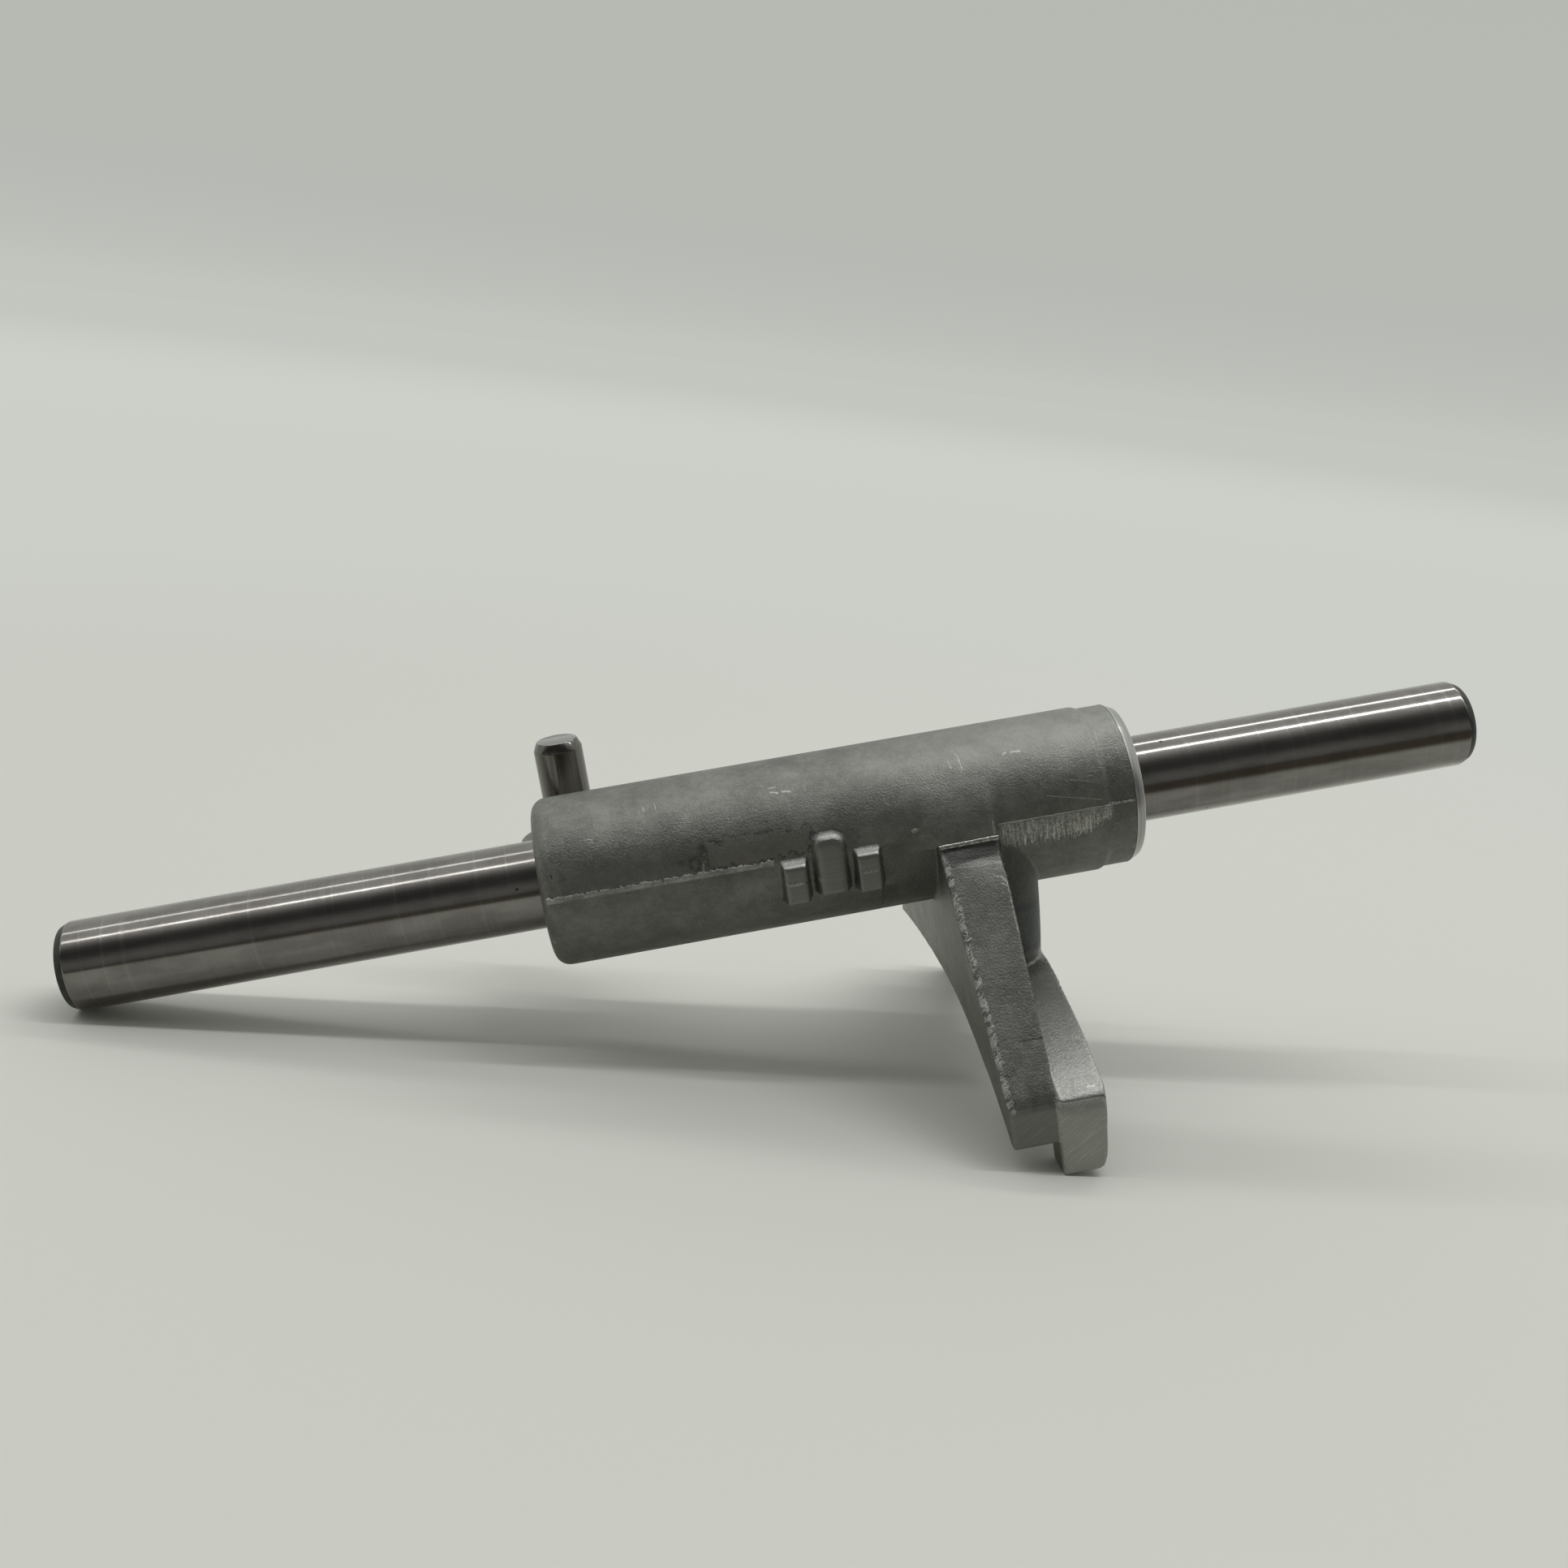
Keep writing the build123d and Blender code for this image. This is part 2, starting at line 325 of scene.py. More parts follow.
# Finish of the casting, zone by zone. Places are in layout millimetres, a pair of them
# is a start and an end, and strengths run from 0 to 1.
castLook = {
    # stain and dark also colour painted shade, pale and bright also painted highlights
    "skin": (0.258, 0.262, 0.241, 1),
    "stain": (0.150, 0.153, 0.142, 1),
    "dark": (0.075, 0.078, 0.080, 1),
    "pale": (0.34, 0.345, 0.325, 1),
    "machined": (0.262, 0.266, 0.248, 1),
    "bright": (0.66, 0.665, 0.64, 1),
    "roughness": 0.53,
    "grainDepth": 0.00009,
    "toolDepth": 0.00003,
    "bossReach": (13.75, 14.0),
    "nearFrom": (-8.0, -6.0),
}


def castFields(tree):
    # What the zones share: place, masks and noises
    coords = layoutCoords(tree)
    x, y, z = axesOf(tree, coords)
    reach = reachOf(tree, y, z)
    onBoss = ramp(tree, reach, *castLook["bossReach"], 1.0, 0.0)
    nearSide = ramp(tree, y, *castLook["nearFrom"], 1.0, 0.0)
    return {
        "coords": coords,
        "x": x,
        "y": y,
        "z": z,
        "reach": reach,
        "side": mathNode(tree, "ABSOLUTE", y),
        "nearSide": nearSide,
        "nearBoss": times(tree, onBoss, nearSide),
        "wander": noise(tree, coords, 0.35, 5.0, 0.65),
        "wanderFine": noise(tree, coords, 1.4, 3.0, 0.6),
        "speckle": noise(tree, coords, 3.1, 2.0, 0.6),
        "grain": useGroup(tree, grainGroup, Vector=coords),
        "geometry": addNode(tree, "ShaderNodeNewGeometry").outputs,
    }


skinTone = {"dim": 0.74, "lit": 1.20, "patches": 0.16, "flecks": 0.45, "pores": 0.35}


def castSkinColour(tree, at):
    # Slow cloudiness with a fine speckle
    skin = castLook["skin"]
    tone = ramp(tree, at["grain"]["Tone"], 0.36, 0.64)
    colour = mixColour(tree, tone, shaded(skin, skinTone["dim"]), shaded(skin, skinTone["lit"]))
    patchy = ramp(tree, drawnNoise(tree, at["coords"], (0.09, 0.16, 0.16), 6.0, 0.62), 0.49, 0.53)
    colour = laid(tree, colour, castLook["stain"], patchy, skinTone["patches"])
    fleck = ramp(tree, at["speckle"], 0.58, 0.68)
    colour = laid(tree, colour, castLook["pale"], fleck, skinTone["flecks"])
    pore = ramp(tree, at["speckle"], 0.34, 0.28)
    return laid(tree, colour, castLook["dark"], pore, skinTone["pores"])


# Darker stain above the parting line: its top falls along the rail
longStain = {
    "ends": (5.5, 47.0),
    "foot": (1.6, 2.4),
    "top": 8.6,
    "fall": -0.085,
    "raggedness": 5.0,
    "raggedFine": 1.2,
    "sway": (0.9, -2.8),
    "strength": 0.30,
    "tide": 0.34,
}


def addLongStain(tree, at, colour):
    size = longStain
    ragged = scaled(tree, at["wander"], size["raggedness"], times(tree, at["wanderFine"], size["raggedFine"]))
    roughHeight = plus(tree, at["z"], scaled(tree, ragged, *size["sway"]))
    top = scaled(tree, at["x"], size["fall"], size["top"])
    stain = times(
        tree,
        ramp(tree, minus(tree, top, roughHeight), -0.2, 0.7),
        ramp(tree, at["z"], *size["foot"]),
        between(tree, at["x"], *size["ends"], 3.0),
        at["nearBoss"],
    )
    tide = times(tree, between(tree, stain, 0.3, 0.55, 0.2), ramp(tree, at["wanderFine"], 0.42, 0.58))
    colour = laid(tree, colour, castLook["dark"], tide, size["tide"])
    return laid(tree, colour, castLook["stain"], stain, size["strength"])


# A dried stain left of the detent, pale inside a dark rim
driedStain = {
    "centre": (32.86, 3.857),
    "half": (9.524, 2.381),
    "raggedness": 1.9,
    "above": (1.2, 1.9),
    "rimSpan": (0.98, 1.06),
    "rimFade": 0.07,
    "colour": (0.30, 0.285, 0.25, 1),
    "inside": 0.30,
    "rim": 0.6,
}


def addDriedStain(tree, at, colour):
    size = driedStain
    across, upward = (
        scaled(tree, at[axis], 1 / half, -centre / half)
        for axis, centre, half in zip("xz", size["centre"], size["half"])
    )
    ring = plus(tree, reachOf(tree, across, upward), -size["raggedness"] / 2)
    ring = scaled(tree, at["wander"], size["raggedness"], ring)
    dried = times(tree, at["nearBoss"], ramp(tree, at["z"], *size["above"]))
    inside = times(tree, ramp(tree, ring, 1.0, 0.9), dried)
    broken = ramp(tree, at["wanderFine"], 0.36, 0.56)
    rim = times(tree, between(tree, ring, *size["rimSpan"], size["rimFade"]), dried, broken)
    colour = laid(tree, colour, size["colour"], inside, size["inside"])
    return laid(tree, colour, castLook["dark"], rim, size["rim"])


# Painted shade on the recessed lower half between detent and web, the rubbed crown of the boss
# with its short bright strokes, and a painted sheen on the boss's top that grows along the rail
bossLightAndWear = {
    "pocketEnds": (53.2, 60.6),
    "pocketFade": 1.6,
    "pocketTop": (0.5, 1.2),
    "pocket": 0.25,
    "crownHeights": (7.0, 12.0),
    "crownFade": 3.0,
    "crown": 0.62,
    "paintedSheenAlong": (42.0, 78.0),
    "paintedSheenUp": (5.0, 10.0),
    "paintedSheen": 0.42,
}


def paintBossLightAndWear(tree, at, colour):
    look = bossLightAndWear
    # pocket: painted shade in the recess between detent and web, laid in the stain colour
    pocket = times(tree, between(tree, at["x"], *look["pocketEnds"], look["pocketFade"]), at["nearBoss"])
    pocket = times(tree, pocket, ramp(tree, at["z"], *look["pocketTop"], 1.0, 0.0))
    colour = laid(tree, colour, castLook["stain"], pocket, look["pocket"])
    rub = ramp(tree, drawnNoise(tree, at["coords"], (1.6, 0.35, 0.35), 5.0, 0.75), 0.55, 0.68)
    crown = times(tree, between(tree, at["z"], *look["crownHeights"], look["crownFade"]), at["nearBoss"])
    colour = laid(tree, colour, castLook["pale"], rub, crown, look["crown"])
    # paintedSheen: painted highlight on the boss's top, stronger towards the right
    paintedSheen = times(tree, ramp(tree, at["x"], *look["paintedSheenAlong"]), ramp(tree, at["z"], *look["paintedSheenUp"]))
    uneven = ramp(tree, at["wander"], 0.35, 0.65, 0.6, 1.0)
    return laid(tree, colour, shaded(castLook["pale"], 1.25), paintedSheen, uneven, look["paintedSheen"])


# Filed patch under the right part of the parting line: upright strokes of uneven length
filedPatch = {
    "ends": (70.9, 88.4),
    "top": (0.75, 0.95),
    "foot": 1.6,
    "longest": -6.5,
    "uneven": -2.4,
    "shorterFrom": (83.0, 89.0),
    "shorterBy": 2.2,
    "lean": 0.22,
    "strength": 0.92,
}


def filePatch(tree, at, colour):
    size = filedPatch
    short = drawnNoise(tree, at["coords"], (3.0, 0.45, 0.45), 4.0, 0.75, (0, size["lean"], 0))
    long = drawnNoise(tree, at["coords"], (2.3, 0.16, 0.16), 4.0, 0.75)
    strokes = scaled(tree, short, 0.5, times(tree, long, 0.5))
    foot = scaled(tree, strokes, size["longest"], size["foot"])
    foot = scaled(tree, at["wanderFine"], size["uneven"], foot)
    foot = plus(tree, foot, ramp(tree, at["x"], *size["shorterFrom"], 0.0, size["shorterBy"]))
    filed = times(
        tree,
        ramp(tree, minus(tree, at["z"], foot), -0.5, 0.5),
        ramp(tree, at["z"], *size["top"], 1.0, 0.0),
        between(tree, at["x"], *size["ends"], 0.5),
        at["nearBoss"],
    )
    tone = ramp(tree, scaled(tree, at["speckle"], 0.35, strokes), 0.60, 0.78)
    filedColour = mixColour(tree, tone, shaded(castLook["skin"], 1.1), castLook["bright"])
    colour = laid(tree, colour, filedColour, filed, size["strength"])
    return colour, filed, strokes, times(tree, filed, tone)


# Machined faces of the detent: flat grey with fine lines along the rail
detentFaces = {
    "ends": (36.0, 52.6),
    "heights": (-6.2, 5.0),
    "front": (-14.42, -14.35),
    "pitch": 0.09,
    "length": 7.0,
}


def machineDetent(tree, at, colour):
    size = detentFaces
    machined = times(
        tree,
        ramp(tree, at["y"], *size["front"], 1.0, 0.0),
        between(tree, at["x"], *size["ends"], 0.1),
        between(tree, at["z"], *size["heights"], 0.1),
    )
    lines = toolLines(tree, at["coords"], size["pitch"], size["length"])
    machinedColour = mixColour(tree, lines["Bright"], castLook["machined"], shaded(castLook["pale"], 0.9))
    return mixColour(tree, machined, colour, machinedColour), machined, lines["Height"]


# Ends of the arms, belt ground with fine diagonal scratches, the inner tips darker
groundEnds = {
    "side": (39.1, 39.3),
    "pitch": 0.026,
    "length": 0.9,
    "lean": 0.55,
    "base": 1.68,
    "tipEnd": (68.3, 68.6),
    "tip": 0.65,
}


def grindEnds(tree, at, colour):
    size = groundEnds
    ground = ramp(tree, at["side"], *size["side"])
    lines = toolLines(tree, at["coords"], size["pitch"], size["length"], size["lean"])
    base = shaded(castLook["skin"], size["base"])
    groundColour = mixColour(tree, lines["Bright"], base, castLook["bright"])
    tip = ramp(tree, at["x"], *size["tipEnd"], 1.0, 0.0)
    groundColour = laid(tree, groundColour, castLook["stain"], tip, size["tip"])
    return mixColour(tree, ground, colour, groundColour), ground, lines["Height"]


# Drag lines on the left face of the web, round the gear's centre
dragLines = {
    "gearCentre": -74.6,
    "face": (60.2, 62.3),
    "heights": (-8.0, -12.0),
    "perMillimetre": 2.6,
    "perRadian": 5.0,
    "strength": 0.3,
}


def addDragLines(tree, at, colour):
    size = dragLines
    fromCentre = minus(tree, at["z"], size["gearCentre"])
    radius = times(tree, reachOf(tree, fromCentre, at["y"]), size["perMillimetre"])
    turning = times(tree, mathNode(tree, "ARCTAN2", at["y"], fromCentre), size["perRadian"])
    drag = ramp(tree, noise(tree, joined(tree, radius, turning), 1.0, 3.0, 0.6), 0.42, 0.62)
    leftFace = between(tree, at["x"], *size["face"], 0.2)
    below = ramp(tree, at["z"], *size["heights"])
    return laid(tree, colour, castLook["pale"], drag, leftFace, below, size["strength"])


# The web's near face: root and tip of its left and right edges, and the way it faces
nearFace = {
    "rootLeft": (60.62, -14.1, -0.7),
    "tipLeft": (61.68, -40.0, -33.7),
    "rootRight": (70.1, -14.1, -0.7),
    "tipRight": (68.65, -40.0, -33.7),
    "away": (0.0, -0.787, 0.617),
    "thickness": (0.22, 0.4),
    "top": (-1.6, -2.4),
}


def addFaceFields(tree, at):
    # Distance from the near face's plane and from its edges, and the face as a mask
    level, height = nearFace["rootLeft"][1:]
    offset = vectorNode(tree, "SUBTRACT", at["coords"], (0, level, height))
    standing = mathNode(tree, "ABSOLUTE", vectorNode(tree, "DOT_PRODUCT", offset, nearFace["away"]))
    depth = minus(tree, at["z"], height)
    edges = {}
    for side in ("Left", "Right"):
        root, tip = nearFace["root" + side], nearFace["tip" + side]
        edges[side] = scaled(tree, depth, (root[0] - tip[0]) / (root[2] - tip[2]), root[0])
    at["standing"] = standing
    at["fromLeft"] = minus(tree, at["x"], edges["Left"])
    at["fromRight"] = minus(tree, edges["Right"], at["x"])
    flat = ramp(tree, standing, *nearFace["thickness"], 1.0, 0.0)
    at["onFace"] = times(tree, flat, ramp(tree, at["z"], *nearFace["top"]))


# Near face: torn bright strip down its left edge, a line of rubbed metal and painted highlight
# down its right, blotches, and the whole face a little darker
faceWear = {
    "tornLeast": 0.2,
    "tornUneven": 1.6,
    "toothPitch": 0.085,
    "toothLength": 0.7,
    "toothLean": 0.6,
    "torn": 0.92,
    "wornHeights": (-18.0, -13.0),
    "wearAndHighlight": 0.6,
    "blotchHeights": (-19.0, -24.0),
    "blotches": 0.20,
    "allOver": 0.08,
}


def wearFace(tree, at, colour):
    look = faceWear
    onFace, fine = at["onFace"], at["wanderFine"]
    width = scaled(tree, fine, look["tornUneven"], look["tornLeast"])
    torn = times(tree, ramp(tree, minus(tree, width, at["fromLeft"]), -0.08, 0.1), onFace)
    toothLines = toolLines(tree, at["coords"], look["toothPitch"], look["toothLength"], look["toothLean"])
    teeth = toothLines["Height"]
    toothTone = ramp(tree, teeth, 0.70, 0.84)
    tornColour = mixColour(tree, toothTone, shaded(castLook["skin"], 0.72), castLook["bright"])
    colour = laid(tree, colour, tornColour, torn, look["torn"])
    # wearAndHighlight: the right edge's bright line, rubbed metal with a painted highlight
    wearAndHighlight = ramp(tree, scaled(tree, fine, -0.5, at["fromRight"]), 0.0, 0.1, 1.0, 0.0)
    wearAndHighlight = times(tree, wearAndHighlight, onFace, ramp(tree, at["z"], *look["wornHeights"]))
    colour = laid(tree, colour, castLook["bright"], wearAndHighlight, look["wearAndHighlight"])
    blotch = ramp(tree, drawnNoise(tree, at["coords"], (0.55, 0.3, 0.3), 4.0, 0.6), 0.53, 0.60)
    blotch = times(tree, blotch, onFace, ramp(tree, at["z"], *look["blotchHeights"], 0.25, 1.0))
    blotch = scaled(tree, blotch, look["blotches"], times(tree, onFace, look["allOver"]))
    return mixColour(tree, blotch, colour, castLook["dark"]), torn, teeth


# Dip at the face's root: painted shade above, under the root's ledge, with a streaked bright wedge along its
# lower side
rootDip = {
    "heights": (-3.1, -1.3),
    "ends": (61.4, 70.3),
    "pitch": 0.12,
    "length": 3.0,
    "lean": -0.12,
    "wedgeSpan": (62.0, 70.2),
    "wedgeTop": -2.6,
    "topSlope": -0.09,
    "wedgeFoot": -4.9,
    "footSlope": 0.19,
    "wedgeLift": (1.2, 1.6),
    "wedgeFront": (-11.0, -12.5),
    "front": (-12.0, -13.2),
    "wedge": 0.5,
}


def addRootDip(tree, at, colour):
    size = rootDip
    wedgeTop = scaled(tree, at["fromRight"], size["topSlope"], size["wedgeTop"])
    wedgeFoot = scaled(tree, at["fromRight"], size["footSlope"], size["wedgeFoot"])
    wedge = times(
        tree,
        ramp(tree, minus(tree, wedgeTop, at["z"]), -0.15, 0.25),
        ramp(tree, minus(tree, at["z"], wedgeFoot), -0.15, 0.15),
        between(tree, at["x"], *size["wedgeSpan"], 0.1),
        ramp(tree, at["standing"], *size["wedgeLift"], 1.0, 0.0),
        ramp(tree, at["y"], *size["wedgeFront"]),
    )
    streaks = toolLines(tree, at["coords"], size["pitch"], size["length"], size["lean"])["Height"]
    # dipShade: painted shade in the dip under the ledge
    dipShade = times(
        tree,
        between(tree, at["z"], *size["heights"], 0.5),
        between(tree, at["x"], *size["ends"], 0.3),
        ramp(tree, at["y"], *size["front"]),
        ramp(tree, streaks, 0.95, 0.7, 0.35, 0.65),
    )
    colour = mixColour(tree, dipShade, colour, castLook["dark"])
    wedgeTone = ramp(tree, streaks, 0.72, 0.95)
    wedgeColour = mixColour(tree, wedgeTone, shaded(castLook["skin"], 1.1), castLook["bright"])
    return laid(tree, colour, wedgeColour, wedge, size["wedge"])


# Right of the web: painted shade on the recessed neck, then a shelf stained above and polished below
shelfLook = {
    "neckEnds": (70.3, 79.0),
    "neckHeights": (-13.8, -1.9),
    "neckFront": (-5.0, -7.0),
    "neckReach": (13.4, 13.8),
    "neck": 0.58,
    "start": (69.0, 69.6),
    "top": (-12.4, -13.4),
    "side": (39.2, 38.9),
    "raggedness": 4.0,
    "polishedBelow": (-22.0, -24.0),
    "polished": 0.62,
    "stainedAbove": (-23.4, -21.4),
    "stained": 0.8,
    "stainColour": (0.105, 0.114, 0.122, 1),
}


def addNeckAndShelf(tree, at, colour):
    look = shelfLook
    neck = times(
        # neck: painted shade where the neck is recessed
        tree,
        between(tree, at["x"], *look["neckEnds"], 0.3),
        between(tree, at["z"], *look["neckHeights"], 0.9),
        ramp(tree, at["y"], *look["neckFront"]),
        ramp(tree, at["reach"], *look["neckReach"]),
    )
    colour = laid(tree, colour, castLook["dark"], neck, look["neck"])
    shelf = times(
        tree,
        ramp(tree, at["x"], *look["start"]),
        ramp(tree, at["z"], *look["top"]),
        ramp(tree, at["side"], *look["side"]),
    )
    height = plus(tree, at["z"], -look["raggedness"] / 2)
    border = scaled(tree, at["wander"], look["raggedness"], height)
    polished = times(tree, shelf, ramp(tree, border, *look["polishedBelow"]))
    polished = times(tree, polished, ramp(tree, at["wanderFine"], 0.3, 0.6, 0.6, 1.0))
    stained = times(tree, shelf, ramp(tree, border, *look["stainedAbove"]))
    stained = times(tree, stained, ramp(tree, at["wanderFine"], 0.2, 0.6, 0.6, 1.0))
    colour = laid(tree, colour, look["stainColour"], stained, look["stained"])
    return laid(tree, colour, shaded(castLook["bright"], 0.72), polished, look["polished"]), polished


# Marks on the casting's near side: from and to as (x, z), and width
brightMarks = (
    ((78.5, 4.05), (87.0, 2.06), 0.07),
    ((82.6, 5.7), (85.4, 5.15), 0.05),
    ((22.9, -6.3), (23.0, -7.2), 0.07),
    ((23.5, -6.4), (23.35, -6.9), 0.06),
    ((8.1, 9.0), (9.2, 8.85), 0.10),
    ((8.5, 8.45), (9.1, 8.5), 0.08),
    ((36.9, 10.75), (38.1, 10.5), 0.12),
    ((38.7, 10.6), (40.0, 10.45), 0.13),
    ((36.9, 11.2), (37.9, 11.2), 0.08),
    ((63.2, 12.35), (65.7, 11.98), 0.06),
    ((65.7, 11.98), (66.5, 11.13), 0.09),
    ((66.5, 11.13), (66.6, 9.48), 0.10),
    ((64.8, 10.66), (65.0, 9.86), 0.09),
    ((73.4, 10.5), (73.9, 10.6), 0.14),
    ((74.6, 10.56), (76.1, 10.48), 0.14),
    ((53.8, 7.0), (54.3, 6.7), 0.10),
    ((17.2, 12.28), (17.5, 11.18), 0.12),
    ((19.2, 12.37), (19.3, 11.2), 0.10),
    ((18.2, 12.1), (18.3, 11.5), 0.08),
    # The upright line next is a painted highlight on the flare's right edge
    ((69.4, 0.1), (69.45, 2.0), 0.16),
    ((88.2, 1.25), (88.8, 1.2), 0.22),
    ((69.0, -5.7), (69.7, -6.5), 0.13),
    ((68.7, -6.3), (69.5, -6.9), 0.10),
    ((67.8, -5.2), (68.6, -5.6), 0.07),
)
darkMarks = (
    ((65.5, -25.4), (69.0, -25.5), 0.15),
    ((35.2, 7.4), (35.5, 7.2), 0.20),
    ((2.2, 5.2), (2.3, 4.7), 0.22),
)
markStrength = {"bright": 0.65, "dark": 0.75}


def markMask(tree, at, marks):
    masks = []
    for start, end, width in marks:
        ends = {"From": (start[0], 0, start[1]), "To": (end[0], 0, end[1])}
        masks.append(useGroup(tree, markGroup, Vector=at["coords"], Width=width, **ends)["Mask"])
    return times(tree, most(tree, *masks), at["nearSide"])


def addMarks(tree, at, colour):
    dented = markMask(tree, at, darkMarks)
    scratchesAndGlint = markMask(tree, at, brightMarks)
    colour = laid(tree, colour, castLook["dark"], dented, markStrength["dark"])
    return laid(tree, colour, castLook["bright"], scratchesAndGlint, markStrength["bright"]), dented


# Painted highlight on the detent pads and ridge where they face up, and bright edges everywhere
# but on the plain round of the boss: rubbed metal with a painted edge highlight
edgeLook = {
    "facing": (0.42, 0.75),
    "padEnds": (36.4, 52.6),
    "padReach": (13.5, 13.75),
    "pads": 0.5,
    "plainEnds": (3.0, 87.4),
    "plainReach": (13.5, 13.7),
    "sharpness": (0.545, 0.62),
    "edges": 0.6,
}


def paintHighlightsAndRubEdges(tree, at, colour):
    look = edgeLook
    facingUp = ramp(tree, axesOf(tree, at["geometry"]["Normal"])[2], *look["facing"])
    # padHighlight: painted highlight on up-facing pad and ridge faces
    padHighlight = times(
        tree,
        facingUp,
        between(tree, at["x"], *look["padEnds"], 0.2),
        ramp(tree, at["reach"], *look["padReach"]),
        at["nearSide"],
    )
    colour = laid(tree, colour, castLook["bright"], padHighlight, look["pads"])
    # Bright edges: rubbed metal and a painted edge highlight
    edge = ramp(tree, at["geometry"]["Pointiness"], *look["sharpness"])
    onRound = ramp(tree, at["reach"], *look["plainReach"], 1.0, 0.0)
    plainRound = times(tree, onRound, between(tree, at["x"], *look["plainEnds"], 0.5))
    wearAndHighlight = times(tree, minus(tree, 1.0, plainRound), ramp(tree, at["wanderFine"], 0.38, 0.62))
    return laid(tree, colour, castLook["bright"], edge, wearAndHighlight, look["edges"])


def castMaterial():
    material, tree, shader = newMaterial("dieCastAluminium")
    at = castFields(tree)
    addFaceFields(tree, at)
    colour = castSkinColour(tree, at)
    colour = addLongStain(tree, at, colour)
    colour = addDriedStain(tree, at, colour)
    colour = paintBossLightAndWear(tree, at, colour)
    colour, filed, strokes, filedBright = filePatch(tree, at, colour)
    colour, machined, machinedLines = machineDetent(tree, at, colour)
    colour, ground, groundLines = grindEnds(tree, at, colour)
    colour = addDragLines(tree, at, colour)
    colour, torn, teeth = wearFace(tree, at, colour)
    colour = addRootDip(tree, at, colour)
    colour, polished = addNeckAndShelf(tree, at, colour)
    colour, dented = addMarks(tree, at, colour)
    colour = paintHighlightsAndRubEdges(tree, at, colour)

    # Roughness: less where metal was cut, filed or polished
    rough = scaled(tree, at["grain"]["Tone"], 0.16, castLook["roughness"] - 0.08)
    for mask, less in ((filedBright, 0.14), (most(tree, machined, torn), 0.08), (polished, 0.12)):
        rough = scaled(tree, mask, -less, rough)

    # Relief: the skin's grain, none where metal was cut, then the tool marks
    uncut = minus(tree, 1.0, most(tree, machined, ground, torn))
    grainHeight = times(tree, scaled(tree, at["speckle"], 1.2, at["grain"]["Height"]), uncut)
    normal = bump(tree, grainHeight, castLook["grainDepth"], 0.7)
    toolHeight = times(tree, dented, -3.0)
    cuts = (
        (machined, machinedLines, 1.0),
        (ground, groundLines, 1.6),
        (filed, strokes, 4.0),
        (torn, teeth, 3.5),
    )
    for mask, height, depth in cuts:
        toolHeight = plus(tree, toolHeight, times(tree, mask, height, depth))
    makeMetal(tree, shader, colour, rough, bump(tree, toolHeight, castLook["toolDepth"], 0.8, normal))
    return material


def flashMaterial():
    # Torn parting metal, paler and brighter than the skin
    material, tree, shader = newMaterial("tornFlash")
    grain = useGroup(tree, grainGroup, Vector=layoutCoords(tree), Size=0.6)
    tone = ramp(tree, grain["Tone"], 0.40, 0.60)
    colour = mixColour(tree, tone, shaded(castLook["pale"], 0.85), shaded(castLook["bright"], 0.75))
    rough = scaled(tree, tone, -0.12, 0.58)
    makeMetal(tree, shader, colour, rough, bump(tree, grain["Height"], 0.00012, 0.8))
    return material


def shardMaterial():
    material, tree, shader = newMaterial("brightBurr")
    tone = ramp(tree, noise(tree, layoutCoords(tree), 1.6, 3.0, 0.6), 0.38, 0.62)
    makeMetal(tree, shader, mixColour(tree, tone, castLook["pale"], castLook["bright"]), 0.34)
    return material


turnedLook = {"dull": (0.42, 0.425, 0.41, 1), "bright": (0.80, 0.805, 0.79, 1), "pitch": 0.07}


def turnedMaterial():
    # Turned end of the boss: bright, with fine rings
    material, tree, shader = newMaterial("turnedAluminium")
    x, y, z = axesOf(tree, layoutCoords(tree))
    ring = joined(tree, mathNode(tree, "ARCTAN2", y, z), plus(tree, reachOf(tree, y, z), x))
    lines = toolLines(tree, ring, turnedLook["pitch"], 2.0)
    colour = mixColour(tree, lines["Bright"], turnedLook["dull"], turnedLook["bright"])
    rough = scaled(tree, lines["Bright"], -0.06, 0.30)
    makeMetal(tree, shader, colour, rough, bump(tree, lines["Height"], 0.00002, 0.5))
    return material


steelLook = {
    "base": (0.305, 0.294, 0.280, 1),
    "shade": (0.240, 0.228, 0.215, 1),
    "ring": (0.46, 0.45, 0.44, 1),
    "pit": (0.03, 0.03, 0.03, 1),
    "roughness": 0.14,
    "endDark": (0.045, 0.050, 0.046, 1),
    "endPale": (0.085, 0.09, 0.083, 1),
    "pinDark": (0.16, 0.152, 0.138, 1),
    "pinPale": (0.32, 0.31, 0.29, 1),
    "pinTop": (0.36, 0.365, 0.35, 1),
}


railLook = {
    "radius": 7.0,
    "slant": 0.25,
    "ringPitch": 0.16,
    "ringLength": 14.0,
    "rings": 0.25,
    "ringDepth": 0.000006,
    "clouds": (0.10, 0.35, 0.35),
    "pitScale": 0.16,
    "pitSizes": (0.028, 0.05),
    "pits": 0.85,
}


